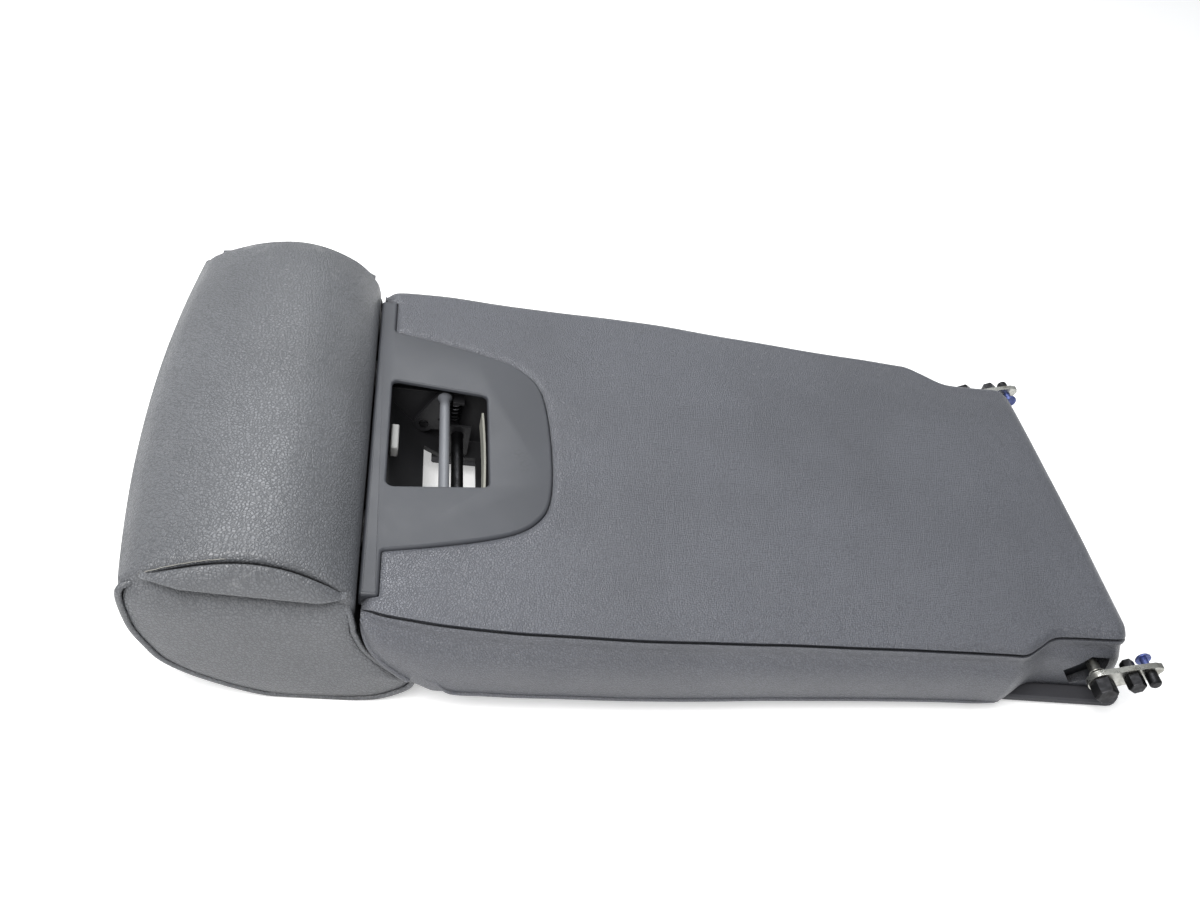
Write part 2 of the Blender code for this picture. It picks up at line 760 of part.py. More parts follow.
def build_bezel(builder, plastic):
    outline = mirrored(bezel_half())
    top = inset(outline, BEZEL_EDGE)
    levels = ((-BEZEL_DEPTH, outline), (-BEZEL_EDGE, outline), (0.0, top))
    bezel = builder.add("bezel", loft([[(x, y, z) for x, y in ring] for z, ring in levels]), plastic)
    hollow = inset(outline, BEZEL_WALL)
    builder.cut(bezel, prism(hollow, -BEZEL_DEPTH - 0.01, -BEZEL_WALL), "underside")
    ring = prism(window_outline(WINDOW_WALL), -BEZEL_DEPTH, -BEZEL_WALL / 2)
    builder.join(bezel, ring, "window_wall")
    wall = profile_sheet(BEZEL_WALL, 0.0, END_WALL_BOTTOM)
    builder.join(bezel, prism(wall, -STRIP_HALF, STRIP_HALF, "Y"), "end_wall")
    window = loft(
        [
            [(x, y, z) for x, y in window_outline(grow)]
            for z, grow in ((-0.02, 0.0), (-BEZEL_EDGE, 0.0), (0.0, BEZEL_EDGE), (0.01, BEZEL_EDGE))
        ]
    )
    builder.cut(bezel, window, "window")
    swing = box(
        (LEVER_X - SWING_ROOM, -BAR_REACH - SWING_SIDE, -0.03),
        (BAR_X + BAR_FLARE + SWING_SIDE, BAR_REACH + SWING_SIDE, -BEZEL_WALL),
    )
    builder.cut(bezel, swing, "bar_swing")
    for side, sign in (("near", -1), ("far", 1)):
        ends = [(-0.02, SLEEVE_RADIUS + GAP), (0.03, SLEEVE_RADIUS + GAP)]
        builder.cut(bezel, turned(ends, (sign * POST_HALF, POST_Z), "X"), f"{side}_sleeve_hole")
    return bezel


def housing_outline(side, floor, top):
    """The housing seen from the side: its head-side wall follows the panel's head end."""
    offset = BEZEL_WALL + GAP
    wall = [(max(HOUSING_START, x + offset) + side, z + floor) for x, z in HEAD_PROFILE[1:]]
    wall = [(x, z) for x, z in wall if z > HOUSING_BOTTOM + floor + 1e-6]
    return [
        (HOUSING_START + side, top),
        *[(x, z) for x, z in wall if z < top - 0.001],
        (HEAD_PROFILE[-1][0] + offset + side, HOUSING_BOTTOM + floor),
        (HOUSING_END - side, HOUSING_BOTTOM + floor),
        (HOUSING_END - side, top),
    ]


def build_housing(builder, plastic):
    body = prism(housing_outline(0.0, 0.0, HOUSING_TOP), -HOUSING_HALF, HOUSING_HALF, "Y")
    housing = builder.add("latch_housing", body, plastic)
    inner = HOUSING_WALL
    room = housing_outline(inner, HOUSING_FLOOR, HOUSING_TOP + 0.01)
    builder.cut(housing, prism(room, -HOUSING_HALF + inner, HOUSING_HALF - inner, "Y"), "room")
    shelf = box(
        (BAR_X + BAR_FLARE + 2 * GAP, ARM_INNER - 0.0025, SHELF_UNDER),
        (LEVER_X + TAIL_REACH + SHELF_HALF, HOUSING_HALF - inner / 2, SHELF_UNDER + inner),
    )
    builder.join(housing, shelf, "spring_shelf")
    ear_base = TUBE_TOP + GAP
    for side, sign in (("near", -1), ("far", 1)):
        ear = box(
            (HOUSING_END - inner, sign * EAR_Y - EAR_HALF, ear_base),
            (FRAME_TOP_X + EAR_HALF, sign * EAR_Y + EAR_HALF, ear_base + HOUSING_FLOOR),
        )
        builder.join(housing, ear, f"{side}_ear")
        ends = [(-0.06, EAR_BOLT_RADIUS + CLEAR), (0.0, EAR_BOLT_RADIUS + CLEAR)]
        builder.cut(housing, turned(ends, (FRAME_TOP_X, sign * EAR_Y), "Z", 16), f"{side}_ear_hole")
    web = box(
        (HOOK_X - PIN_WEB_HALF, PIN_WEB_Y - PIN_WEB_THICKNESS / 2, FLOOR_TOP - 0.001),
        (HOOK_X + PIN_WEB_HALF, PIN_WEB_Y + PIN_WEB_THICKNESS / 2, LEVER_Z + PIN_WEB_HALF),
    )
    builder.join(housing, web, "pin_web")
    slot = box((SLOT_START, SLOT_NEAR, HOUSING_BOTTOM - 0.01), (SLOT_END, SLOT_FAR, FLOOR_TOP + 0.001))
    builder.cut(housing, slot, "slot")
    slot = box((SLOT_START, SLOT_NEAR, HOUSING_BOTTOM - 0.01), (SLOT_WALL_END, SLOT_FAR, SLOT_WALL_TOP))
    builder.cut(housing, slot, "slot_in_wall")
    past_wall = HOUSING_HALF + 0.0225
    ends = [(-past_wall, HOOK_PIN_RADIUS + CLEAR), (PIN_WEB_Y + 0.009, HOOK_PIN_RADIUS + CLEAR)]
    builder.cut(housing, turned(ends, (HOOK_X, LEVER_Z), "Y"), "hook_pin_hole")
    ends = [(-past_wall, LEVER_PIN_RADIUS + CLEAR), (past_wall, LEVER_PIN_RADIUS + CLEAR)]
    builder.cut(housing, turned(ends, (LEVER_X, LEVER_Z), "Y", 16), "lever_pin_hole")
    return housing


def round_hull(circles, steps=6):
    """The outline round a run of circles given as (x, z, radius), as a belt would lie round them."""
    points = []
    for x, z, radius in circles:
        points += arc((x, z), radius, 0, 360, 4 * steps)[:-1]
    points = sorted(set((round(x, 7), round(z, 7)) for x, z in points))

    def chain(run):
        kept = []
        for point in run:
            while len(kept) > 1:
                (ax, az), (bx, bz) = kept[-2], kept[-1]
                if (bx - ax) * (point[1] - az) - (bz - az) * (point[0] - ax) > 1e-12:
                    break
                kept.pop()
            kept.append(point)
        return kept[:-1]

    return [*chain(points), *chain(reversed(points))]


def build_lever(builder, joint, plastic):
    flare = BAR_FLARE_LENGTH
    profile = [
        (-BAR_REACH, BAR_FLARE),
        (-ARM_INNER, BAR_FLARE),
        (-ARM_INNER + flare, BAR_RADIUS),
        (ARM_INNER - flare, BAR_RADIUS),
        (ARM_INNER, BAR_FLARE),
        (BAR_REACH, BAR_FLARE),
    ]
    lever = builder.add("release_lever", turned(profile, (BAR_X, BAR_Z)), plastic, joint)
    arm = round_hull([(BAR_X, BAR_Z, BAR_FLARE), (LEVER_X, LEVER_Z, ARM_BOSS)])
    for side, sign in (("near", -1), ("far", 1)):
        low, high = sorted((sign * ARM_INNER, sign * BAR_REACH))
        builder.join(lever, prism(arm, low, high, "Y"), f"{side}_arm", joint)
    tail = round_hull([(LEVER_X, LEVER_Z, TAIL_RADIUS), (LEVER_X + TAIL_REACH, LEVER_Z, TAIL_RADIUS)])
    builder.join(lever, prism(tail, ARM_INNER, BAR_REACH, "Y"), "spring_tail", joint)
    past_arm = BAR_REACH + 0.0075
    ends = [(-past_arm, LEVER_PIN_RADIUS + CLEAR), (past_arm, LEVER_PIN_RADIUS + CLEAR)]
    builder.cut(lever, turned(ends, (LEVER_X, LEVER_Z), "Y", 16), "pivot_bore", joint)
    ends = [(-past_arm, CRANK_PIN_RADIUS + CLEAR), (-ARM_INNER + 0.0095, CRANK_PIN_RADIUS + CLEAR)]
    eye = turned(ends, (LEVER_X + CRANK[0], LEVER_Z + CRANK[1]), "Y", 12)
    builder.cut(lever, eye, "crank_eye", joint)
    return lever


def build_hook(builder, joint, steel):
    throat = (HOOK_X - 0.0115, LEVER_Z - 0.0160)
    outline = [
        *arc((HOOK_X, LEVER_Z), HOOK_BOSS, -20, 165, 8),
        (HOOK_X - 0.0125, LEVER_Z - 0.0060),
        (HOOK_X - 0.0130, LEVER_Z - 0.0105),
        *arc(throat, THROAT_RADIUS, 100, -90, 9),
        (HOOK_X - 0.0158, throat[1] - THROAT_RADIUS),
        (HOOK_X - 0.0160, throat[1] - THROAT_RADIUS - 0.0022),
        (HOOK_X - 0.0140, throat[1] - THROAT_RADIUS - 0.0038),
        (HOOK_X - 0.0050, throat[1] - THROAT_RADIUS - 0.0036),
        (HOOK_X + 0.0020, throat[1] - 0.0010),
        (HOOK_X + 0.0058, LEVER_Z - 0.0085),
    ]
    hook = builder.add("latch_hook", prism(outline, HOOK_NEAR, HOOK_NEAR + HOOK_THICKNESS, "Y"), steel, joint)
    eye_place = (HOOK_X + CRANK[0], LEVER_Z + CRANK[1])
    crank = round_hull([(HOOK_X, LEVER_Z, HOOK_BOSS - 0.001), (*eye_place, CRANK_EYE)])
    builder.join(hook, prism(crank, HOOK_NEAR, HOOK_NEAR + HOOK_THICKNESS, "Y"), "crank", joint)
    low, high = HOOK_NEAR - 0.01, HOOK_NEAR + HOOK_THICKNESS + 0.01
    ends = [(low, HOOK_PIN_RADIUS + CLEAR), (high, HOOK_PIN_RADIUS + CLEAR)]
    builder.cut(hook, turned(ends, (HOOK_X, LEVER_Z), "Y", 20), "pivot_bore", joint)
    ends = [(low, CRANK_PIN_RADIUS + CLEAR), (high, CRANK_PIN_RADIUS + CLEAR)]
    eye = turned(ends, eye_place, "Y", 12)
    builder.cut(hook, eye, "crank_eye", joint)
    return hook


def build_link(builder, joint, steel):
    start = (LEVER_X + CRANK[0], LEVER_Z + CRANK[1])
    end = (HOOK_X + CRANK[0], LEVER_Z + CRANK[1])
    outline = round_hull([(*start, LINK_EYE), (*end, LINK_EYE)], 4)
    link = builder.add("latch_link", prism(outline, LINK_FAR - LINK_THICKNESS, LINK_FAR, "Y"), steel, joint)
    inside = LINK_FAR - LINK_THICKNESS / 2
    lever_pin = turned([(-BAR_REACH, CRANK_PIN_RADIUS), (inside, CRANK_PIN_RADIUS)], start, "Y", 12)
    builder.join(link, lever_pin, "lever_end_pin", joint)
    ends = [(inside, CRANK_PIN_RADIUS), (HOOK_NEAR + HOOK_THICKNESS, CRANK_PIN_RADIUS)]
    builder.join(link, turned(ends, end, "Y", 12), "hook_end_pin", joint)
    return link


def build_pins(builder, steel):
    outer = HOUSING_HALF
    for side, sign in (("near", -1), ("far", 1)):
        profile = [
            (sign * (ARM_INNER - 0.0005), LEVER_PIN_RADIUS),
            (sign * (outer + GAP), LEVER_PIN_RADIUS),
            (sign * (outer + GAP), LEVER_PIN_RADIUS + 0.002),
            (sign * (outer + 0.002), LEVER_PIN_RADIUS + 0.0015),
        ]
        builder.add(f"{side}_lever_pin", turned(profile, (LEVER_X, LEVER_Z), "Y", 16), steel)
    profile = [
        (-outer - 0.002, HOOK_PIN_RADIUS + 0.0015),
        (-outer - GAP, HOOK_PIN_RADIUS + 0.0022),
        (-outer - GAP, HOOK_PIN_RADIUS),
        (PIN_WEB_Y + CLIP_START, HOOK_PIN_RADIUS),
        (PIN_WEB_Y + CLIP_END + 0.001, HOOK_PIN_RADIUS - 0.0006),
    ]
    builder.add("hook_pin", turned(profile, (HOOK_X, LEVER_Z), "Y", 20), steel)
    ring = tube_profile(PIN_WEB_Y + CLIP_START, PIN_WEB_Y + CLIP_END, HOOK_PIN_RADIUS + GAP, CLIP_RADIUS)
    builder.add("hook_pin_clip", turned(ring, (HOOK_X, LEVER_Z), "Y", 20, hollow=True), steel)


def build_spring(builder, steel):
    """The coil spring between the lever's tail and the shelf above it."""
    x = LEVER_X + TAIL_REACH
    y = ARM_INNER + ARM_THICKNESS / 2
    low = LEVER_Z + TAIL_RADIUS + GAP + SPRING_WIRE
    high = SHELF_UNDER - GAP - SPRING_WIRE
    path = []
    count = SPRING_TURNS * 12
    for i in range(count + 1):
        angle = 2 * math.pi * i / 12
        across = (SPRING_RADIUS * math.cos(angle), SPRING_RADIUS * math.sin(angle))
        path.append((x + across[0], y + across[1], low + (high - low) * i / count))
    builder.add("lever_spring", sweep(path, SPRING_WIRE, 6), steel)


def build_stop_pad(builder, rubber):
    width, length, height = STOP_PAD
    pad = box(
        (STOP_PAD_X, STOP_PAD_Y - length / 2, STOP_PAD_Z - height / 2),
        (STOP_PAD_X + width, STOP_PAD_Y + length / 2, STOP_PAD_Z + height / 2),
    )
    bmesh.ops.bevel(pad, geom=list(pad.edges), offset=SMALL_EDGE, segments=1, affect="EDGES")
    builder.add("lever_stop_pad", pad, rubber)


def rest_rings():
    """Cross-sections of the head restraint from its near end to its far end."""
    crest = smooth_curve(CREST, 2)
    left, right = Vector(crest[0]), Vector(crest[-1])
    under = [
        (HEAD_PROFILE[2][0] - REST_CLEARANCE - 0.0022, -0.013),
        (HEAD_PROFILE[2][0] - REST_CLEARANCE, HEAD_PROFILE[2][1] - 0.0015),
    ]
    for x, z in HEAD_PROFILE[3:7]:
        under.append((x - REST_CLEARANCE * 0.75, z - REST_CLEARANCE * 0.75))
    belly = [tuple(p) for p in smooth_curve([REST_LIP[-1], *REST_BELLY], 2)[1:]]
    body = [*under, *REST_LIP, *belly]
    middle = Vector((-0.045, -0.020))
    half = [REST_HALF, REST_HALF - 0.0012, REST_SEAM, 0.1415, 0.137, 0.130, 0.118, 0.100, 0.070, 0.035]
    stations = [*half, 0.0, *[-y for y in reversed(half)]]
    rings = []
    for y in sorted(stations):
        reach = abs(y)
        if reach >= REST_SEAM:
            rise = REST_SEAM_RISE * (1 - (reach - REST_SEAM) / (REST_HALF - REST_SEAM)) ** 0.6
        else:
            rise = 1 - (1 - REST_SEAM_RISE) * (reach / REST_SEAM) ** 8
        bow = REST_BOW * (1 - (reach / REST_HALF) ** 2)
        tuck = 0.018 if reach > REST_HALF - 1e-6 else 0.0
        ring = []
        for point in crest:
            t = (point.x - left.x) / (right.x - left.x)
            chord = left.lerp(right, t)
            ring.append(chord + (point - chord) * max(rise, 0.02))
        ring += [Vector(point) for point in body]
        shaped = []
        for point in ring:
            outer = max(0.0, (middle.x - point.x) / (middle.x - left.x))
            x = point.x - bow * outer
            moved = Vector((x, point.y)).lerp(middle, tuck)
            shaped.append((moved.x, y, moved.y))
        rings.append(shaped)
    return rings


def build_head_restraint(builder, joint, leather, steel):
    cushion = builder.add("head_restraint_cushion", loft(rest_rings()), leather, joint)
    corners = [
        (POST_END, -POST_HALF, POST_Z),
        (CROSSBAR_X, -POST_HALF, POST_Z),
        (CROSSBAR_X, POST_HALF, POST_Z),
        (POST_END, POST_HALF, POST_Z),
    ]
    path = bent_path(corners, CROSSBAR_BEND)
    builder.cut(cushion, sweep(path, POST_RADIUS + GAP, 12), "rod_channel", joint)
    half_y = COLLAR_SIZE[0] / 2 + COLLAR_ROOM
    half_z = COLLAR_SIZE[1] / 2 + COLLAR_ROOM
    for side, sign, extra in (("near", -1, BUTTON_TRAVEL + 0.001), ("far", 1, 0.0)):
        low, high = sorted((sign * (POST_HALF - half_y), sign * (POST_HALF + half_y + extra)))
        recess = box((COLLAR_START - COLLAR_ROOM, low, POST_Z - half_z), (0.02, high, POST_Z + half_z))
        builder.cut(cushion, recess, f"{side}_collar_recess", joint)
    rod = builder.add("head_restraint_rod", sweep(path, POST_RADIUS, 16), steel, joint)
    for number in range(POST_NOTCHES):
        x = 0.030 + number * POST_NOTCH_PITCH
        y = -POST_HALF - POST_RADIUS
        notch = box((x - 0.002, y - 0.01, POST_Z - 0.01), (x + 0.002, y + POST_NOTCH_DEPTH, POST_Z + 0.01))
        builder.cut(rod, notch, f"notch_{number + 1}", joint)
    return cushion


def build_sleeves(builder, joint, plastic, button_plastic):
    for side, sign in (("near", -1), ("far", 1)):
        centre = (sign * POST_HALF, POST_Z)
        bored = tube_profile(COLLAR_START + 0.0005, SLEEVE_END, SLEEVE_BORE, SLEEVE_RADIUS)
        sleeve = builder.add(f"{side}_guide_sleeve", turned(bored, centre, "X", 24, hollow=True), plastic)
        y, z = COLLAR_SIZE
        oval = [(centre[0] + y * c / 2, POST_Z + z * s / 2) for c, s in arc((0, 0), 1, 0, 345, 23)]
        builder.join(sleeve, prism(oval, COLLAR_START, 0.020, "X"), "collar")
        body = [(x - GAP, height) for x, height in HEAD_PROFILE]
        behind = [*body, (SLEEVE_END, -PANEL_DEPTH), (SLEEVE_END, 0.0)]
        outside = prism(behind, -0.12, 0.12, "Y")
        core = SLEEVE_RADIUS - CLEAR
        cored = turned([(-0.01, core), (SLEEVE_END + 0.01, core)], centre, "X", 24)
        helper = builder.cut(sleeve, outside, "wall_seat")
        step = helper.modifiers.new("keep_tube", "BOOLEAN")
        step.operation = "DIFFERENCE"
        step.solver = "EXACT"
        step.object = builder.add(f"helper_{side}_tube_core", cored)
        ends = [(COLLAR_START - 0.01, SLEEVE_BORE), (SLEEVE_END + 0.01, SLEEVE_BORE)]
        builder.cut(sleeve, turned(ends, centre, "X", 24), "bore")
        if side == "near":
            width, length, height = BUTTON_SIZE
            outer = -POST_HALF - COLLAR_SIZE[0] / 2
            start = COLLAR_START + 0.0010
            room = box(
                (start - GAP, outer - 0.01, POST_Z - height / 2 - GAP),
                (start + width + GAP, -POST_HALF - SLEEVE_RADIUS - GAP, POST_Z + height / 2 + GAP),
            )
            builder.cut(sleeve, room, "button_room")
            inner_y = -POST_HALF - SLEEVE_RADIUS - 2 * GAP - BUTTON_TRAVEL
            button = box(
                (start, inner_y - length, POST_Z - height / 2),
                (start + width, inner_y, POST_Z + height / 2),
            )
            bmesh.ops.bevel(button, geom=list(button.edges), offset=SMALL_EDGE, segments=2, affect="EDGES")
            builder.add("height_button", button, button_plastic, joint)


def along_arm(distance, across=0.0):
    """A point on the hinge arm, measured from its pivot along the arm and across it."""
    x = PIVOT_X + distance * math.cos(ARM_ANGLE) - across * math.sin(ARM_ANGLE)
    z = PIVOT_Z + distance * math.sin(ARM_ANGLE) + across * math.cos(ARM_ANGLE)
    return (x, z)


def build_hinge(builder, joint, side, sign, steel, bright, dark, blue):
    def put(name, shape, finish, holder=None):
        return builder.add(f"{side}_{name}", shape, finish, holder)

    def y(distance):
        return sign * distance

    corner = 0.008
    low, high = sorted((y(BRACKET_INNER), y(BRACKET_OUTER)))
    plate = [
        (BRACKET_BACK, BOARD_TOP + 2 * GAP),
        (BRACKET_FRONT, BOARD_TOP + 2 * GAP),
        *arc((BRACKET_FRONT - corner, BRACKET_TOP - corner), corner, 0, 90, 5),
        *arc((PIVOT_X - 2 * corner, BRACKET_TOP - corner), corner, 90, 150, 4),
        (BRACKET_BACK, TUBE_TOP),
    ]
    bracket = put("hinge_bracket", prism(plate, low, high, "Y"), steel)
    reach = (y(BRACKET_INNER - 0.02), y(BRACKET_OUTER + 0.02))
    hole = turned([(h, PIVOT_RADIUS + CLEAR) for h in reach], (PIVOT_X, PIVOT_Z), "Y")
    builder.cut(bracket, hole, "pivot_hole")
    for number, x in enumerate(BRACKET_SCREW_X, 1):
        face = BRACKET_OUTER
        sink = face - (SCREW_HEAD_RADIUS - SCREW_RADIUS)
        hole = [
            (y(face - 0.02), SCREW_RADIUS + CLEAR),
            (y(sink), SCREW_RADIUS + CLEAR),
            (y(face), SCREW_HEAD_RADIUS + CLEAR),
            (y(face + 0.01), SCREW_HEAD_RADIUS + CLEAR),
        ]
        builder.cut(bracket, turned(hole, (x, TUBE_Z), "Y", 16), f"screw_hole_{number}")
        frame = bpy.data.objects["back_frame"]
        ends = [(y(face - SCREW_LENGTH - 0.001), SCREW_RADIUS + CLEAR), (y(face), SCREW_RADIUS + CLEAR)]
        builder.cut(frame, turned(ends, (x, TUBE_Z), "Y", 16), f"{side}_bracket_screw_{number}")
        tip = (y(face - SCREW_LENGTH), SCREW_RADIUS)
        screw = [tip, (y(sink), SCREW_RADIUS), (y(face - GAP), SCREW_HEAD_RADIUS)]
        put(f"bracket_screw_{number}", turned(screw, (x, TUBE_Z), "Y", 16), steel)

    centre = (PIVOT_X, PIVOT_Z)
    spacer = tube_profile(y(BRACKET_OUTER + GAP), y(SPACER_END), PIVOT_RADIUS + CLEAR, SPACER_RADIUS)
    put("pivot_spacer", turned(spacer, centre, hollow=True), bright)
    start = SPACER_END + GAP
    washer = tube_profile(y(start), y(start + WASHER_THICKNESS), PIVOT_RADIUS + CLEAR, WASHER_RADIUS)
    put("pivot_washer", turned(washer, centre, hollow=True), bright)
    head_base = LINK_OUTER + GAP
    nut_end = BRACKET_INNER - GAP - PIVOT_NUT
    shank = turned([(y(nut_end - 0.001), PIVOT_RADIUS), (y(head_base + 0.001), PIVOT_RADIUS)], centre)
    bolt = put("pivot_bolt", shank, dark)
    builder.join(bolt, hex_head(centre, HEAD_FLAT, y(head_base), y(head_base + HEAD_LENGTH)), "head")
    nut = put("pivot_nut", hex_head(centre, PIVOT_NUT_FLAT, y(BRACKET_INNER - GAP), y(nut_end)), steel)
    thread = turned([(h, PIVOT_RADIUS + CLEAR) for h in (y(nut_end - 0.01), y(BRACKET_INNER + 0.01))], centre)
    builder.cut(nut, thread, "thread")

    outline = [
        *[along_arm(u, v) for u, v in arc((0, 0), ARM_HALF + 0.0012, 90, 270, 8)],
        along_arm(0.012, -ARM_HALF),
        along_arm(STUD + 0.0015, -ARM_HALF + 0.001),
        along_arm(STUD + 0.0050, -ARM_HALF + 0.0045),
        along_arm(ARM_TIP, 0.0006),
        along_arm(ARM_TIP, 0.0036),
        along_arm(STUD + 0.0040, 0.0056),
        along_arm(SECOND_BOLT, ARM_HALF),
        along_arm(0.012, ARM_HALF),
    ]
    low, high = sorted((y(LINK_INNER), y(LINK_OUTER)))
    arm = put("hinge_arm", prism(outline, low, high, "Y"), bright, joint)
    holes = (
        ("pivot", 0.0, PIVOT_RADIUS),
        ("second", SECOND_BOLT, SECOND_RADIUS),
        ("stud", STUD, STUD_RADIUS),
    )
    for label, where, radius in holes:
        ends = (y(LINK_INNER - 0.01), y(LINK_OUTER + 0.01))
        hole = turned([(h, radius + CLEAR) for h in ends], along_arm(where), "Y", 20)
        builder.cut(arm, hole, f"{label}_hole", joint)
    place = along_arm(SECOND_BOLT)
    nut_end = LINK_INNER - SECOND_NUT
    shank = turned([(y(nut_end), SECOND_RADIUS), (y(head_base + 0.001), SECOND_RADIUS)], place, "Y", 16)
    second = put("arm_bolt", shank, dark, joint)
    head = hex_head(place, SECOND_FLAT, y(head_base), y(head_base + SECOND_HEAD))
    builder.join(second, head, "head", joint)
    nut = put("arm_nut", hex_head(place, SECOND_NUT_FLAT, y(LINK_INNER - GAP), y(nut_end)), dark, joint)
    ends = [(h, SECOND_RADIUS + CLEAR) for h in (y(nut_end - 0.01), y(LINK_INNER + 0.01))]
    builder.cut(nut, turned(ends, place, "Y", 16), "thread", joint)
    place = along_arm(STUD)
    cap_end = LINK_OUTER + GAP + STUD_CAP_LENGTH
    head_end = STUD_HEAD_INNER + STUD_HEAD_THICKNESS
    stud = [
        (y(STUD_HEAD_INNER), STUD_HEAD_RADIUS * 0.86),
        (y(STUD_HEAD_INNER + STUD_HEAD_THICKNESS / 2), STUD_HEAD_RADIUS),
        (y(head_end), STUD_HEAD_RADIUS),
        (y(head_end), STUD_RADIUS),
        (y(cap_end - 0.002), STUD_RADIUS),
    ]
    put("arm_stud", turned(stud, place), blue, joint)
    cap = [
        (y(cap_end - 0.002 + GAP), STUD_RADIUS + CLEAR),
        (y(LINK_OUTER + GAP), STUD_RADIUS + CLEAR),
        (y(LINK_OUTER + GAP), STUD_CAP_RADIUS),
        (y(cap_end - 0.001), STUD_CAP_RADIUS),
        (y(cap_end), STUD_CAP_RADIUS - 0.001),
    ]
    put("arm_stud_cap", turned(cap, place), dark, joint)


def build_screws(builder, steel):
    board = bpy.data.objects["back_board"]
    frame = bpy.data.objects["back_frame"]
    number = 0
    sink = BOARD_BOTTOM + SCREW_HEAD_RADIUS - SCREW_RADIUS
    for x in BOARD_SCREW_X:
        for sign in (-1, 1):
            number += 1
            place = (x, sign * FRAME_HALF)
            hole = [
                (BOARD_BOTTOM - 0.01, SCREW_HEAD_RADIUS + CLEAR),
                (BOARD_BOTTOM, SCREW_HEAD_RADIUS + CLEAR),
                (sink, SCREW_RADIUS + CLEAR),
                (BOARD_TOP + 0.01, SCREW_RADIUS + CLEAR),
            ]
            builder.cut(board, turned(hole, place, "Z", 16), f"screw_hole_{number}")
            top = BOARD_BOTTOM + SCREW_LENGTH
            ends = [(BOARD_TOP, SCREW_RADIUS + CLEAR), (top + 0.001, SCREW_RADIUS + CLEAR)]
            builder.cut(frame, turned(ends, place, "Z", 16), f"board_screw_{number}")
            screw = [(BOARD_BOTTOM + GAP, SCREW_HEAD_RADIUS), (sink, SCREW_RADIUS), (top, SCREW_RADIUS)]
            builder.add(f"board_screw_{number}", turned(screw, place, "Z", 16), steel)
    base = TUBE_TOP + GAP + HOUSING_FLOOR + GAP
    for side, sign in (("near", -1), ("far", 1)):
        place = (FRAME_TOP_X, sign * EAR_Y)
        ends = [(TUBE_Z, EAR_BOLT_RADIUS + CLEAR), (TUBE_TOP + 0.01, EAR_BOLT_RADIUS + CLEAR)]
        builder.cut(frame, turned(ends, place, "Z", 16), f"{side}_ear_bolt")
        shank = turned([(TUBE_Z + 0.001, EAR_BOLT_RADIUS), (base + 0.001, EAR_BOLT_RADIUS)], place, "Z", 16)
        bolt = builder.add(f"{side}_housing_bolt", shank, steel)
        builder.join(bolt, hex_head(place, EAR_BOLT_FLAT, base, base + EAR_BOLT_HEAD, "Z"), "head")


def stand_on_ground(builder):
    """Tilts the panel so that both ends touch the ground, and centres the whole over the origin."""
    builder.root.rotation_euler = (0, TILT, 0)
    bpy.context.view_layer.update()
    graph = bpy.context.evaluated_depsgraph_get()
    low = Vector((math.inf,) * 3)
    high = Vector((-math.inf,) * 3)
    for piece in bpy.data.objects:
        if piece.type != "MESH" or piece.hide_render:
            continue
        shown = piece.evaluated_get(graph)
        for vertex in shown.data.vertices:
            point = piece.matrix_world @ vertex.co
            low = Vector(map(min, low, point))
            high = Vector(map(max, high, point))
    builder.root.location = (-(low.x + high.x) / 2, -(low.y + high.y) / 2, -low.z)
    bpy.context.view_layer.update()


def main():
    clear_scene()
    builder = Builder()
    leather = material("leather", srgb(112, 112, 116), 0.55)
    shell = material("board_covering", srgb(70, 70, 74), 0.7)
    plastic = material("bezel_plastic", srgb(112, 115, 122), 0.45)
    black = material("black_plastic", srgb(38, 38, 40), 0.5)
    grey = material("grey_plastic", srgb(150, 150, 150), 0.5)
    steel = material("frame_steel", srgb(60, 62, 66), 0.4, 1.0)
    bright = material("zinc_plated_steel", srgb(190, 190, 186), 0.3, 1.0)
    dark = material("dark_steel", srgb(48, 48, 50), 0.4, 1.0)
    blue = material("blue_marked_steel", srgb(96, 106, 160), 0.4, 0.6)

    pad = build_panel(builder, leather)
    finish_panel(builder, pad)

    build_board(builder, shell)
    build_frame(builder, steel)
    build_bezel(builder, plastic)
    build_housing(builder, black)
    build_lever(builder, builder.joint("release_lever_pivot", (LEVER_X, 0, LEVER_Z)), plastic)
    build_hook(builder, builder.joint("latch_hook_pivot", (HOOK_X, 0, LEVER_Z)), dark)
    link_place = (HOOK_X + CRANK[0], 0, LEVER_Z + CRANK[1])
    build_link(builder, builder.joint("latch_link_pivot", link_place), dark)
    build_pins(builder, dark)
    build_spring(builder, bright)
    build_stop_pad(builder, grey)
    build_head_restraint(builder, builder.joint("head_restraint_slide", (0, 0, POST_Z)), leather, bright)
    build_sleeves(builder, builder.joint("height_button_slide", (0, -POST_HALF, POST_Z)), black, black)
    for side, sign in (("near", -1), ("far", 1)):
        joint = builder.joint(f"{side}_hinge_pivot", (PIVOT_X, 0, PIVOT_Z))
        build_hinge(builder, joint, side, sign, steel, bright, dark, blue)
    build_screws(builder, steel)
    stand_on_ground(builder)


main()
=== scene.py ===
"""Looks of the rear seat armrest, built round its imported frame: covers, trim, metals, light and camera.

Metres. New pieces are drawn in the panel's own frame, as in the part's source: origin at the middle
of the panel's head end on its top face, +X towards the hinges, +Y to the far side, +Z up.
"""

import json
import math

import bpy
import numpy as np
from mathutils import Matrix, Vector, noise


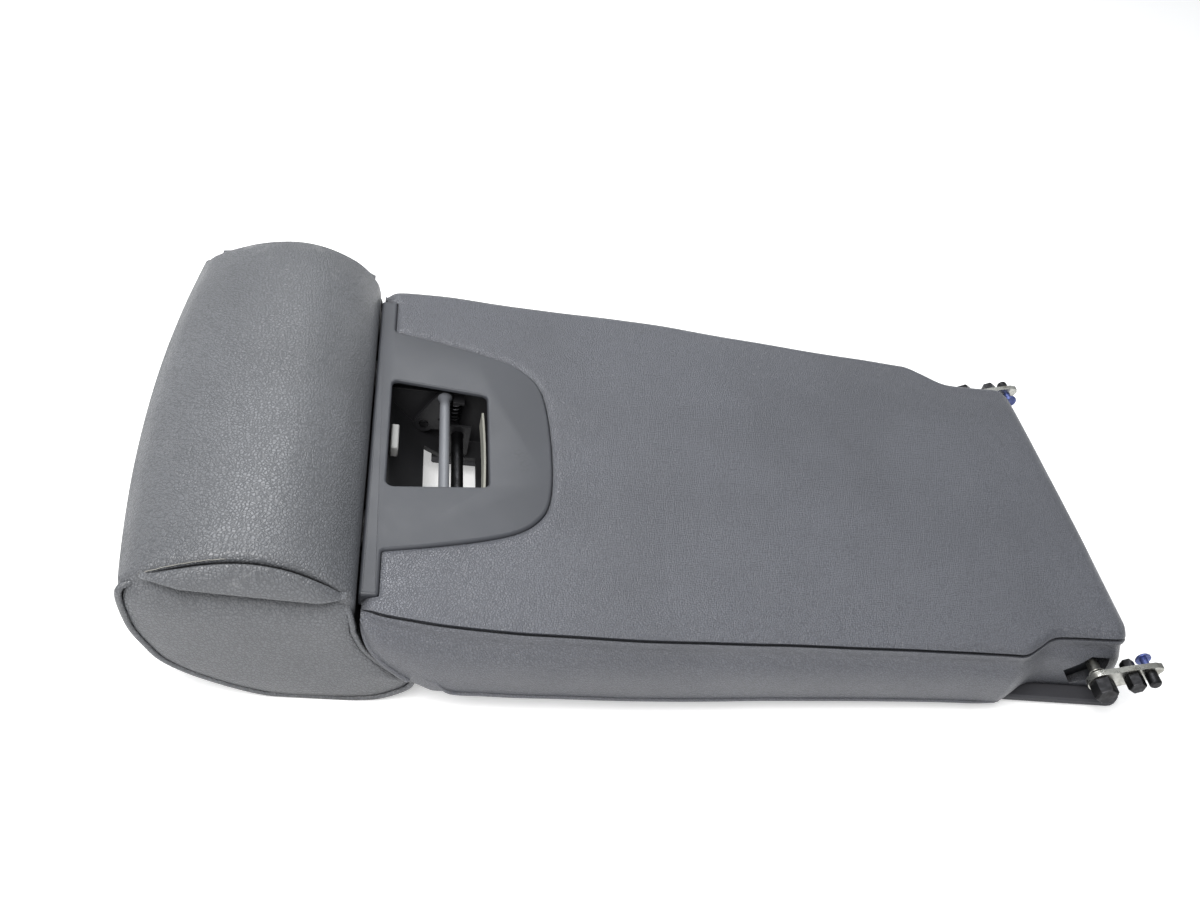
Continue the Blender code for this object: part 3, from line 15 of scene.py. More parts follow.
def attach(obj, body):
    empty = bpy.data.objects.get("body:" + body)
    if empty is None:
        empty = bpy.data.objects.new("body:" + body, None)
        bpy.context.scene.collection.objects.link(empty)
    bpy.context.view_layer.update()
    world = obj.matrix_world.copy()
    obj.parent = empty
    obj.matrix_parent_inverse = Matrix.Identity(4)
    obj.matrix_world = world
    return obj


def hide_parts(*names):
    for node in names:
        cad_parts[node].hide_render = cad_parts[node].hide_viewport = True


# Padded panel: (distance from the head end, half width, drop of the edge below the crown)
PANEL_STATIONS = (
    (0.002, 0.1460, 0.0000),
    (0.012, 0.1500, 0.0000),
    (0.026, 0.1520, 0.0004),
    (0.048, 0.1538, 0.0014),
    (0.080, 0.1542, 0.0028),
    (0.115, 0.1540, 0.0038),
    (0.157, 0.1540, 0.0046),
    (0.196, 0.1526, 0.0048),
    (0.240, 0.1498, 0.0058),
    (0.290, 0.1464, 0.0062),
    (0.340, 0.1430, 0.0060),
    (0.385, 0.1404, 0.0054),
    (0.396, 0.1392, 0.0052),
    (0.407, 0.1322, 0.0048),
    (0.418, 0.1246, 0.0046),
    (0.430, 0.1220, 0.0046),
    (0.462, 0.1218, 0.0036),
)

# How far the panel's sides stand to the far side: (distance from the head end, lean)
PANEL_LEAN = (
    (0.090, 0.0),
    (0.170, 0.0022),
    (0.240, 0.0032),
    (0.300, 0.0028),
    (0.360, 0.0018),
    (0.400, 0.0006),
    (0.420, 0.0),
)

# The panel's length, depth, rolled edges and ends
PANEL_LENGTH = 0.473
PANEL_DEPTH = 0.0555
PANEL_EDGE = 0.0085
EDGE_SHARE = 0.45
PANEL_SIDE_BULGE = 0.0030
PANEL_END_EDGE = 0.010
PANEL_END_LEAN = 0.010
PANEL_LEAN_SPAN = 0.037
PANEL_END_CORNER = 0.012
HEAD_ROUND = 0.004
HEAD_ROUND_SPAN = 0.008
BOTTOM_ROUND = ((0.0012, 0.0004), (0.0026, 0.0))
UNDERSIDE_SHARES = (0.9, 0.7, 0.45, 0.2)

# Where the cover has its cross-sections: (from, to, step), close together where it bends
COVER_SPANS = (
    (0.002, 0.046, 0.00125),
    (0.046, 0.122, 0.0018),
    (0.122, 0.390, 0.0044),
    (0.390, 0.432, 0.0015),
    (0.432, 0.462, 0.0030),
)

# The panel's head end seen from the side
HEAD_PROFILE = (
    (0.0000, 0.0000),
    (0.0016, -0.0050),
    (0.0042, -0.0170),
    (0.0085, -0.0270),
    (0.0175, -0.0375),
    (0.0275, -0.0460),
    (0.0360, -0.0510),
    (0.0450, -0.0555),
)
PIVOT_X = 0.4575
PIVOT_Z = -0.031

# Seam along the panel's sides: (distance from the head end, how high it runs on the rolled edge in degrees)
SEAM_TURNS = (
    (0.000, 68),
    (0.110, 66),
    (0.180, 64),
    (0.250, 60),
    (0.320, 50),
    (0.380, 40),
    (0.430, 30),
    (0.473, 30),
)
SEAM_DEPTH = 0.0019
SEAM_WIDTH = 0.0019
SEAM_GROOVE = ((0.0004, 0.6), (0.0009, 1.0), (0.0014, 0.5))
SEAM_SHADOW_BAND = 0.0030
SEAM_SHADOW_PLACE = 0.16
SEAM_SHADOW_SPREAD = 0.02
SIDE_FALL = 5
SIDE_END = 0.96
SIDE_TUCK = 0.0004
FULL_SIDE = 0.030

# Beads: how thin their tips are, and those round the panel's head-end corners and along its bottom
TIP_SHARE = 0.35
OUTER_BEAD = 0.0021
OUTER_BEAD_IN = 0.0012
OUTER_BEAD_DEEP = 0.0008
OUTER_BEAD_LOW = -0.048
INNER_BEAD = 0.0014
INNER_BEAD_IN = 0.0098
INNER_BEAD_DEEP = -0.0002
INNER_BEAD_LOW = -PANEL_DEPTH + 0.0012
BEAD_TOP = -0.0075
BEAD_SHY = 0.6
BOTTOM_BEAD_DEEP = 0.0004
BOTTOM_BEAD_RISE = 0.0016
BOTTOM_BEAD_END = 0.398
BOTTOM_BEAD_STEP = 0.006

# Soft lip of the cover round the bezel, and the cover's slow waves: height, number in a metre, seed
LIP_DROP = 0.0024
LIP_REACH = 0.0052
CROWN_LOW = -0.0065
PUCKER = 0.00042
PUCKER_REACH = 0.010
PUCKER_START = 0.0008
NEAR_PUCKERS = 0.25
COVER_WAVES = (0.00035, 26.0, 3.1)

# Bezel
FIT = 0.0003
BEZEL_WALL = 0.0025
BEZEL_DEPTH = 0.0090
BEZEL_ROUND = 0.0020
STRIP_HALF = 0.1330
STRIP_WIDTH = 0.0105
STRIP_CORNER = 0.0018
INNER_CORNER = 0.0026
BEZEL_CURVE = (
    (0.0120, 0.0998),
    (0.0390, 0.0938),
    (0.0680, 0.0858),
    (0.0880, 0.0778),
    (0.1000, 0.0676),
    (0.1074, 0.0535),
    (0.1108, 0.0300),
    (0.1118, 0.0000),
)
END_WALL_BOTTOM = -0.034
WINDOW_START = 0.0105
WINDOW_END = 0.0715
WINDOW_HALF_HEAD = 0.0485
WINDOW_HALF_HINGE = 0.0430
WINDOW_CORNER = 0.0045
WINDOW_ROUND = 0.0016
LEVER_ARM_FACE = 0.0491

# Pale foam along the window's hinge side
FOAM_ENDS = (-0.038, 0.036)
FOAM_HALF = 0.04
FOAM_BOW = 0.0010
FOAM_IN = 0.0024
FOAM_THICK = 0.0013
FOAM_LOW = -0.0215
FOAM_TOP = -0.0100

# How far the cutters reach, and the rooms inside the panel, the same as in the frame
DEEP = -0.07
OVER = 0.01
AHEAD = 0.02
POCKET = ((0.084, -0.112, -0.07), (0.464, 0.112, -0.0375))
SLEEVE_ROOM = 0.0088
SLEEVE_END = 0.1083
SADDLE_ROOM = ((0.0917, -0.0103), (0.1003, 0.0103))
SADDLE_LOW = -0.047
SADDLE_TOP = -0.0197
BRACKET_ROOM = ((0.4237, 0.1035, -0.07), (0.4693, 0.1163, -0.0177))
PIVOT_OPENING = (
    (0.4390, -0.0365),
    (0.4530, -0.0235),
    (0.4655, -0.0235),
    (0.4665, -0.0400),
    (0.4520, -0.0520),
)
PIVOT_OPENING_SIDES = (0.115, 0.135)

# Head restraint: crown outline across its top, then the rest of its side outline
CREST = (
    (-0.1205, 0.0075),
    (-0.1130, 0.0162),
    (-0.1000, 0.0247),
    (-0.0860, 0.0314),
    (-0.0740, 0.0355),
    (-0.0604, 0.0380),
    (-0.0470, 0.0375),
    (-0.0335, 0.0338),
    (-0.0200, 0.0266),
    (-0.0115, 0.0195),
    (-0.0042, 0.0105),
    (-0.0014, 0.0015),
)
REST_UNDER = (
    (-0.0002, -0.0130),
    (0.0014, -0.0185),
    (0.0064, -0.0291),
    (0.0154, -0.0396),
    (0.0254, -0.0481),
)
REST_LIP = ((0.0340, -0.0540), (0.0352, -0.0575), (0.0320, -0.0635))
REST_BELLY = (
    (0.0205, -0.0712),
    (0.0090, -0.0745),
    (-0.0130, -0.0762),
    (-0.0350, -0.0762),
    (-0.0570, -0.0715),
    (-0.0838, -0.0604),
    (-0.1005, -0.0490),
    (-0.1090, -0.0370),
    (-0.1153, -0.0250),
    (-0.1187, -0.0130),
    (-0.1208, -0.0010),
)
REST_SEAM = 0.1435
SEAM_BACK = 0.001
WRAP_MIDDLE = 0.118
WRAP_OUTER = 0.121
REST_SEAM_RISE = 0.86
REST_RISE_POWER = 8
REST_HALF = 0.149
REST_BOW = 0.0105
REST_BOW_START = -0.045
REST_END_IN = 0.0022
REST_ROUND = 0.0042
REST_WAVES = (0.0007, 22.0, 8.4)
REST_STILL = -0.060
REST_STILL_SPAN = 0.03

# Upper end panel's section: (distance from the middle, drop below the crest, share of what is left)
LENS_ROOT = 0.1410
LENS_PROFILE = (
    (0.1390, 0.0100, 1.00),
    (0.1415, 0.0082, 1.00),
    (0.1430, 0.0066, 1.00),
    (0.1441, 0.0045, 1.00),
    (0.1452, 0.0033, 1.00),
    (0.1464, 0.0030, 1.00),
    (0.1476, 0.0030, 0.94),
    (0.1488, 0.0030, 0.84),
    (0.1499, 0.0030, 0.70),
    (0.1508, 0.0030, 0.54),
    (0.1515, 0.0030, 0.36),
    (0.1519, 0.0030, 0.20),
    (0.1520, 0.0030, 0.08),
    (0.1517, 0.0030, -0.02),
    (0.1506, 0.0030, -0.08),
    (0.1485, 0.0030, -0.10),
    (0.1460, 0.0030, -0.06),
    (0.1420, 0.0030, 0.05),
    (0.1390, 0.0030, 0.30),
)
LENS_SWELL_SPAN = 0.012
LENS_LEAST_RISE = 0.25
LENS_LEAST_SWELL = 0.45

# Lower end panel: rings from its hidden root to its middle (scale, distance from the middle)
END_PANEL_CENTRE = (-0.046, -0.034)
END_PANEL_INSET = 0.0012
END_PANEL_LEVELS = (
    (1.0, 0.1395),
    (1.0, 0.1438),
    (0.990, 0.1450),
    (0.975, 0.1460),
    (0.955, 0.1468),
    (0.92, 0.1476),
    (0.86, 0.1483),
    (0.76, 0.1489),
    (0.62, 0.1493),
    (0.45, 0.1496),
    (0.28, 0.1498),
    (0.10, 0.1499),
)

# Crease between the end panels, the bead round the lower one, and the thread in the arched seam
CREASE_LINE = ((-0.1190, 0.0165), (-0.0030, 0.0105))
CREASE_POINTS = 28
CREASE_GAP = 0.0052
CREASE_REACH = 0.026
CREASE_DEPTH = 0.0074
END_BEAD = 0.0019
END_BEAD_Y = 0.1458
END_BEAD_IN = 0.55
END_BEAD_TUCK = 0.0045
END_BEAD_TIP = 6
THREAD = 0.00022
THREAD_Y = 0.1431
THREAD_SWAY = 0.0002
THREAD_IN = 0.0018
THREAD_SHARE = 0.42

# The head restraint's posts, and the room for the sleeves' collars and the button
POST_HALF = 0.070
POST_Z = -0.018
COLLAR_ROOM = (0.0172, 0.0106)
COLLAR_ROOM_START = -0.0107
BUTTON_ROOM = 0.004

# Leather: its grain's relief from pebbles, large cells and fine noise, its tones, shine and the shade
# painted into its creases
LEATHER_GRAIN_DEPTH = 0.0006
LEATHER_BUMP = 0.62
PEBBLE_SHARE = 0.62
LARGE_SHARE = 0.12
FINE_SHARE = 0.10
DARK_PATCH = 0.86
LIGHT_PATCH = 1.10
GRAIN_SHADE = 0.45
LEATHER_ROUGHNESS = (0.39, 0.48)
LEATHER_SPECULAR = 0.75
CREASE_SHADE_REACH = 0.018
CREASE_SHADE_SPAN = (0.15, 0.92)
CREASE_SHADE = 0.12
SCUFF_COLOUR = (196, 196, 194)
LINT_CELLS = 75.0
LINT_SIZE = 0.035
LINT_RUST = 0.86
LINT_COLOURS = ((206, 206, 202), (190, 150, 96))

# Tones of moulded plastic (dark drift, light drift, smudge) and of metal's darker plating
PLASTIC_TONES = (0.90, 1.07, 0.35)
PLASTIC_BUMP = 0.5
PLASTIC_RUB = 0.03
METAL_DARK = 0.72
METAL_GRIME = 0.55
METAL_BUMP = 0.4
METAL_SCRATCH = 0.00005

# Light from all round, the floor and how much it is lifted to white
WORLD_FILL = 0.42
WORLD_COLOUR = (0.94, 0.97, 1.0, 1)
WHITE = (1, 1, 1, 1)
FLOOR_HALF = 6.0
FLOOR_COLOUR = (0.86, 0.86, 0.86, 1)
FLOOR_LIFT = 0.42

# Lamps: name, place, target, size, power, colour
LAMPS = (
    ("key", (-0.50, -0.62, 1.15), (-0.08, -0.10, 0.05), (0.8, 0.8), 18.8, (1.0, 0.99, 0.98)),
    ("overhead", (-0.35, 0.76, 1.14), (-0.10, -0.05, 0.05), (1.1, 0.6), 11.5, (0.98, 0.99, 1.0)),
    ("far_side", (0.40, 1.30, 0.95), (0.0, 0.0, 0.05), (1.6, 0.5), 0.8, (0.97, 0.99, 1.0)),
)

# Camera in the panel's frame, and the photograph's lens
CAMERA_PLACE = (-0.00955, -0.55910, 0.49710)
CAMERA_RIGHT = (0.97523, -0.08435, 0.20457)
CAMERA_DOWN = (0.09498, -0.67590, -0.73085)
CAMERA_FORWARD = (0.19990, 0.73217, -0.65116)
LENS = 36
SENSOR = 36

# Edges sharper than this stay sharp, and the small rounding of the frame's own pieces
SHARP_ANGLE = 38
NODE_EDGE = 0.0004
WELD_GAP = 0.00001

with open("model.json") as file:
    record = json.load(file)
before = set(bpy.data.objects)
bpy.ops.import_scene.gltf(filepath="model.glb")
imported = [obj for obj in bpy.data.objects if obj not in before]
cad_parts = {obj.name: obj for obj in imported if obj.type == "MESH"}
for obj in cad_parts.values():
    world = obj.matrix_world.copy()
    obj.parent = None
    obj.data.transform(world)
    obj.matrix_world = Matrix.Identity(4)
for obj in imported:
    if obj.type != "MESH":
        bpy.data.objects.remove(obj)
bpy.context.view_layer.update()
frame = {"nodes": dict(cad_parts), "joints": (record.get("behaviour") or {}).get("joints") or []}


def panel_matrix():
    """Where the panel's own frame stands, worked out from two of the frame's joints."""
    joints = {joint["name"]: joint for joint in frame["joints"]}
    axis = joints["head_restraint_slide"]["axis"]
    turn = Matrix.Rotation(math.atan2(axis[2], -axis[0]), 4, "Y")
    place = Vector(joints["near_arm_turn"]["pos_m"]) - turn @ Vector((PIVOT_X, 0, PIVOT_Z))
    place.y = 0
    return Matrix.Translation(place) @ turn


PANEL = panel_matrix()


def smooth_curve(points, steps):
    """Points along a smooth open curve through the given ones (Catmull-Rom)."""
    given = np.array(points, float)
    padded = np.vstack([2 * given[0] - given[1], given, 2 * given[-1] - given[-2]])
    curve = []
    for i in range(1, len(padded) - 2):
        before, start, end, after = padded[i - 1 : i + 3]
        for t in np.arange(steps) / steps:
            bend = 2 * before - 5 * start + 4 * end - after
            twist = 3 * start - before - 3 * end + after
            curve.append(0.5 * (2 * start + (end - before) * t + bend * t**2 + twist * t**3))
    curve.append(given[-1])
    return np.array(curve)


def height_along(points, x, column=1):
    """A column of a table at x, along a smooth curve through its rows."""
    curve = smooth_curve([(point[0], point[column]) for point in points], 8)
    return float(np.interp(x, curve[:, 0], curve[:, 1]))


def arc(centre, radius, start, end, steps):
    """Points along an arc, with its ends in degrees."""
    turns = np.radians(np.linspace(start, end, steps + 1))
    return [(centre[0] + radius * math.cos(a), centre[1] + radius * math.sin(a)) for a in turns]


def mirrored(half):
    """A closed outline from its far half."""
    other = [(x, -y) for x, y in reversed(half) if y > 1e-9]
    return [*half, *other]


def outline_normals(outline):
    """Unit normals that point into a closed outline."""
    points = np.array(outline, float)
    step = np.roll(points, -1, axis=0) - points
    step /= np.maximum(np.linalg.norm(step, axis=1), 1e-12)[:, None]
    mean = step + np.roll(step, 1, axis=0)
    mean /= np.maximum(np.linalg.norm(mean, axis=1), 1e-12)[:, None]
    x, y = points[:, 0], points[:, 1]
    area = np.sum(x * np.roll(y, -1) - np.roll(x, -1) * y)
    return np.stack([-mean[:, 1], mean[:, 0]], axis=1) * (1 if area > 0 else -1)


def inset(outline, distance):
    """The outline moved inwards."""
    return np.array(outline, float) + outline_normals(outline) * distance


def in_scene(name, data):
    """A new object in the scene with this mesh, lamp or lens."""
    made = bpy.data.objects.new(name, data)
    bpy.context.scene.collection.objects.link(made)
    return made


def new_piece(name, points, faces):
    """A mesh piece from points in the panel's frame."""
    mesh = bpy.data.meshes.new(name)
    mesh.from_pydata([PANEL @ Vector(point) for point in points], [], faces)
    mesh.validate()
    return in_scene(name, mesh)


def loft(name, rings):
    """A closed skin through rings with equal numbers of points, capped at its ends."""
    rings = [np.array(ring, float) for ring in rings]
    count = len(rings[0])
    points = np.vstack(rings)
    faces = []
    for row in range(len(rings) - 1):
        base = row * count
        for i in range(count):
            j = (i + 1) % count
            faces.append((base + i, base + j, base + count + j, base + count + i))
    last = (len(rings) - 1) * count
    faces.append(tuple(reversed(range(count))))
    faces.append(tuple(range(last, last + count)))
    piece = new_piece(name, points, faces)
    face_outwards(piece)
    return piece


def mesh_points(mesh):
    co = np.empty(len(mesh.vertices) * 3)
    mesh.vertices.foreach_get("co", co)
    return co.reshape(-1, 3)


def face_outwards(piece):
    """Turns a closed mesh inside out if its volume comes out negative."""
    mesh = piece.data
    mesh.calc_loop_triangles()
    co = mesh_points(mesh)
    tri = np.empty(len(mesh.loop_triangles) * 3, int)
    mesh.loop_triangles.foreach_get("vertices", tri)
    a, b, c = (co[tri.reshape(-1, 3)[:, k]] for k in range(3))
    if np.einsum("ij,ij->i", a, np.cross(b, c)).sum() < 0:
        mesh.flip_normals()


def prism(name, outline, low, high, axis="Z"):
    """A straight solid with the outline as its cross-section."""
    order = {"X": (2, 0, 1), "Y": (0, 2, 1), "Z": (0, 1, 2)}[axis]
    rings = []
    for height in (low, high):
        flat = np.array([(*point, height) for point in outline])
        rings.append(flat[:, order])
    return loft(name, rings)


def block(name, low, high):
    outline = [(low[0], low[1]), (high[0], low[1]), (high[0], high[1]), (low[0], high[1])]
    return prism(name, outline, low[2], high[2])


def change(piece, helper, operation="DIFFERENCE"):
    """Applies one Boolean to the piece and deletes its helper."""
    step = piece.modifiers.new("cut", "BOOLEAN")
    step.operation = operation
    step.solver = "MANIFOLD"
    step.object = helper
    bake(piece)
    bpy.data.objects.remove(helper, do_unlink=True)


def bake(piece):
    """Puts a piece's modifiers into its mesh."""
    graph = bpy.context.evaluated_depsgraph_get()
    made = bpy.data.meshes.new_from_object(piece.evaluated_get(graph))
    piece.modifiers.clear()
    piece.data = made


def tube(name, path, radius, sides=10):
    """A round cord along a path in the panel's frame, with tapered tips."""
    path = np.array(path, float)
    tangent = np.gradient(path, axis=0)
    tangent /= np.linalg.norm(tangent, axis=1)[:, None]
    side = np.array(Vector(tangent[0]).orthogonal().normalized())
    turns = 2 * np.pi * np.arange(sides) / sides
    rings = []
    for k, (point, along) in enumerate(zip(path, tangent)):
        side = side - along * side.dot(along)
        side /= np.linalg.norm(side)
        other = np.cross(along, side)
        thin = TIP_SHARE if k in (0, len(path) - 1) else 1.0
        circle = np.outer(np.cos(turns), side) + np.outer(np.sin(turns), other)
        rings.append(point + radius * thin * circle)
    return loft(name, rings)


def join(name, pieces):
    """Several meshes as one piece."""
    points, faces = [], []
    for piece in pieces:
        base = len(points)
        points += [vertex.co.copy() for vertex in piece.data.vertices]
        faces += [tuple(base + k for k in face.vertices) for face in piece.data.polygons]
        bpy.data.objects.remove(piece, do_unlink=True)
    mesh = bpy.data.meshes.new(name)
    mesh.from_pydata(points, [], faces)
    return in_scene(name, mesh)


def finish_piece(piece, body, material, angle=SHARP_ANGLE):
    """Gives a new piece its material and smooth shading, and says which body carries it."""
    piece.data.materials.clear()
    piece.data.materials.append(material)
    piece.data.shade_smooth()
    piece.data.set_sharp_from_angle(angle=math.radians(angle))
    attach(piece, body)
    return piece


def toned(colour, share):
    """A colour made darker or lighter by a share."""
    return tuple(value * share for value in colour[:3]) + (1.0,)


def srgb(red, green, blue):
    """A colour as it is seen, 0 to 255, turned into the linear values that a shader takes."""
    linear = [((value / 255 + 0.055) / 1.055) ** 2.4 for value in (red, green, blue)]
    return (*linear, 1.0)


class Shader:
    """A Principled material with the small node helpers that the finishes share."""

    def __init__(self, name, roughness, metallic=0.0):
        self.made = bpy.data.materials.new(name)
        self.made.use_nodes = True
        self.tree = self.made.node_tree
        self.main = self.tree.nodes["Principled BSDF"]
        self.main.inputs["Roughness"].default_value = roughness
        self.main.inputs["Metallic"].default_value = metallic
        self.place = self.node("ShaderNodeTexCoord").outputs["Object"]

    def put(self, value, socket):
        """Links a node's output to a socket, or sets the socket to a plain value."""
        if hasattr(value, "is_output"):
            self.tree.links.new(value, socket)
        else:
            socket.default_value = value

    def node(self, kind, **values):
        """A node with its sockets and its choices set by name."""
        made = self.tree.nodes.new(kind)
        for name, value in values.items():
            if name in made.inputs:
                self.put(value, made.inputs[name])
            else:
                setattr(made, name, value)
        return made

    def link(self, source, name):
        self.tree.links.new(source, self.main.inputs[name])

    def noise(self, scale, detail=3.0, place=None, roughness=0.5):
        values = {"Scale": scale, "Detail": detail, "Roughness": roughness}
        return self.node("ShaderNodeTexNoise", Vector=place or self.place, **values).outputs["Fac"]

    def moved(self, scale, amount):
        """The surface's place, wandered about by a noise, so that cells aren't regular."""
        field = self.node("ShaderNodeTexNoise", Scale=scale, Detail=2.0, Vector=self.place)
        centred = self.vector("SUBTRACT", field.outputs["Color"], (0.5, 0.5, 0.5))
        grown = self.node("ShaderNodeVectorMath", operation="SCALE", Scale=amount)
        self.put(centred.outputs[0], grown.inputs[0])
        return self.vector("ADD", self.place, grown.outputs[0]).outputs[0]

    def cells(self, scale, place, feature="DISTANCE_TO_EDGE"):
        return self.node("ShaderNodeTexVoronoi", feature=feature, Scale=scale, Vector=place)

    def span(self, value, low, high, to_low=0.0, to_high=1.0):
        """The value's way from low to high, eased, as a number between two others."""
        limits = {"From Min": low, "From Max": high, "To Min": to_low, "To Max": to_high}
        made = self.node("ShaderNodeMapRange", interpolation_type="SMOOTHSTEP", Value=value, **limits)
        return made.outputs["Result"]

    def math(self, operation, first, second):
        made = self.node("ShaderNodeMath", operation=operation)
        self.put(first, made.inputs[0])
        self.put(second, made.inputs[1])
        return made.outputs[0]

    def vector(self, operation, first, second):
        made = self.node("ShaderNodeVectorMath", operation=operation)
        self.put(first, made.inputs[0])
        self.put(second, made.inputs[1])
        return made

    def mix(self, factor, first, second):
        """Two colours mixed by a factor; a colour mix has its sockets at 0, 6 and 7."""
        made = self.node("ShaderNodeMix", data_type="RGBA")
        for place, value in ((0, factor), (6, first), (7, second)):
            self.put(value, made.inputs[place])
        return made.outputs[2]

    def near(self, centre, radius):
        """1 at a point in the panel's frame, falling to 0 at the radius."""
        away = self.vector("DISTANCE", self.place, PANEL @ Vector(centre)).outputs["Value"]
        return self.span(away, 0.0, radius, 1.0, 0.0)

    def patch(self, centre, radius, texture, strength):
        """A worn or smudged patch round a point, broken up by a texture."""
        return self.math("MULTIPLY", self.math("MULTIPLY", self.near(centre, radius), texture), strength)

    def bump(self, height, distance, strength):
        made = self.node("ShaderNodeBump", Height=height, Distance=distance, Strength=strength)
        self.link(made.outputs[0], "Normal")


def leather(name, colour, grain, scuffs=(), lint=0.0):
    """Pebbled automotive leather: grain cells with creases between them, wear, a little lint and painted
    shade in creases and seams.
    """
    shader = Shader(name, 0.45)
    wander = shader.moved(grain * 0.45, 0.7 / grain)
    cells = shader.cells(grain, wander).outputs["Distance"]
    pebble = shader.span(cells, 0.0, 0.22)
    large = shader.span(shader.cells(grain * 0.42, wander).outputs["Distance"], 0.0, 0.16)
    fine = shader.noise(grain * 3.2, 2.0)
    height = shader.math("MULTIPLY", pebble, PEBBLE_SHARE)
    for relief, share in ((large, LARGE_SHARE), (fine, FINE_SHARE)):
        height = shader.math("ADD", height, shader.math("MULTIPLY", relief, share))
    shader.bump(height, LEATHER_GRAIN_DEPTH, LEATHER_BUMP)
    patches = shader.span(shader.noise(9.0, 4.0), 0.3, 0.7)
    base = shader.mix(patches, toned(colour, DARK_PATCH), toned(colour, LIGHT_PATCH))
    base = shader.mix(shader.span(height, 0.25, 0.85, 0.62, 0.0), base, toned(colour, GRAIN_SHADE))
    wear = shader.span(shader.noise(70.0, 5.0, roughness=0.65), 0.52, 0.72)
    for centre, radius, strength in scuffs:
        base = shader.mix(shader.patch(centre, radius, wear, strength), base, srgb(*SCUFF_COLOUR))
    if lint:
        specks = shader.cells(LINT_CELLS, shader.place, "F1")
        rare = shader.node("ShaderNodeSeparateColor", Color=specks.outputs["Color"])
        seen = shader.math("LESS_THAN", specks.outputs["Distance"], LINT_SIZE)
        some = shader.math("GREATER_THAN", rare.outputs["Red"], 1.0 - lint)
        seen = shader.math("MULTIPLY", seen, some)
        rust = shader.math("GREATER_THAN", rare.outputs["Green"], LINT_RUST)
        base = shader.mix(seen, base, shader.mix(rust, *[srgb(*tint) for tint in LINT_COLOURS]))
    # Painted shade: ambient occlusion darkens the base colour towards black in creases, seams and gaps
    creases = shader.node("ShaderNodeAmbientOcclusion", Distance=CREASE_SHADE_REACH).outputs["AO"]
    shade = shader.span(creases, *CREASE_SHADE_SPAN, CREASE_SHADE, 1.0)
    shader.link(shader.mix(shade, (0.0, 0.0, 0.0, 1.0), base), "Base Color")
    shine = shader.span(shader.noise(30.0, 4.0), 0.3, 0.7, *LEATHER_ROUGHNESS)
    shader.link(shader.math("ADD", shine, shader.math("MULTIPLY", height, -0.06)), "Roughness")
    shader.main.inputs["Specular IOR Level"].default_value = LEATHER_SPECULAR
    return shader.made


def moulded_shader(name, colour, roughness, texture=1800.0, depth=0.00006, smudges=()):
    """Moulded plastic with a fine spark-eroded texture, faint handling marks and colour drift."""
    shader = Shader(name, roughness)
    grains = shader.noise(texture, 3.0)
    shader.bump(grains, depth, PLASTIC_BUMP)
    drift = shader.span(shader.noise(14.0, 4.0), 0.3, 0.7)
    dark, light, smudge = (toned(colour, share) for share in PLASTIC_TONES)
    base = shader.mix(drift, dark, light)
    blot = shader.span(shader.noise(420.0, 3.0), 0.42, 0.62)
    for centre, radius, strength in smudges:
        base = shader.mix(shader.patch(centre, radius, blot, strength), base, smudge)
    shader.link(base, "Base Color")
    rubbed = (roughness - PLASTIC_RUB, roughness + PLASTIC_RUB)
    rub = shader.span(shader.noise(55.0, 5.0, roughness=0.6), 0.35, 0.7, *rubbed)
    shader.link(rub, "Roughness")
    return shader


def moulded(*look, **choices):
    return moulded_shader(*look, **choices).made


def lever_look(colour, ends):
    """The release bar's plastic, with the two arms at its ends in their darker colour."""
    shader = moulded_shader("lever_plastic", colour, 0.38)
    parts = shader.node("ShaderNodeSeparateXYZ", Vector=shader.place)
    reach = shader.math("ABSOLUTE", parts.outputs["Y"], 0.0)
    beyond = shader.math("GREATER_THAN", reach, LEVER_ARM_FACE)
    base = shader.main.inputs["Base Color"].links[0].from_socket
    shader.link(shader.mix(beyond, base, ends), "Base Color")
    return shader.made


def metal(name, colour, roughness, stain, metallic=1.0):
    """Plated or bare steel with a mottled plating, fine scratches and dulled patches."""
    shader = Shader(name, roughness, metallic)
    mottle = shader.span(shader.noise(260.0, 5.0, roughness=0.62), 0.36, 0.68)
    grime = shader.span(shader.noise(90.0, 5.0, roughness=0.66), 0.48, 0.70)
    base = shader.mix(mottle, toned(colour, METAL_DARK), colour)
    base = shader.mix(shader.math("MULTIPLY", grime, METAL_GRIME), base, stain)
    shader.link(base, "Base Color")
    stretched = shader.node("ShaderNodeMapping", Scale=(1.0, 9.0, 1.0), Vector=shader.place)
    scratches = shader.noise(900.0, 3.0, place=stretched.outputs[0])
    shader.bump(scratches, METAL_SCRATCH, METAL_BUMP)
    shader.link(shader.span(mottle, 0.0, 1.0, roughness + 0.12, roughness - 0.05), "Roughness")
    return shader.made


def between(points, x):
    """The second value of a table at x, along straight lines between its rows."""
    return float(np.interp(x, [p[0] for p in points], [p[1] for p in points]))


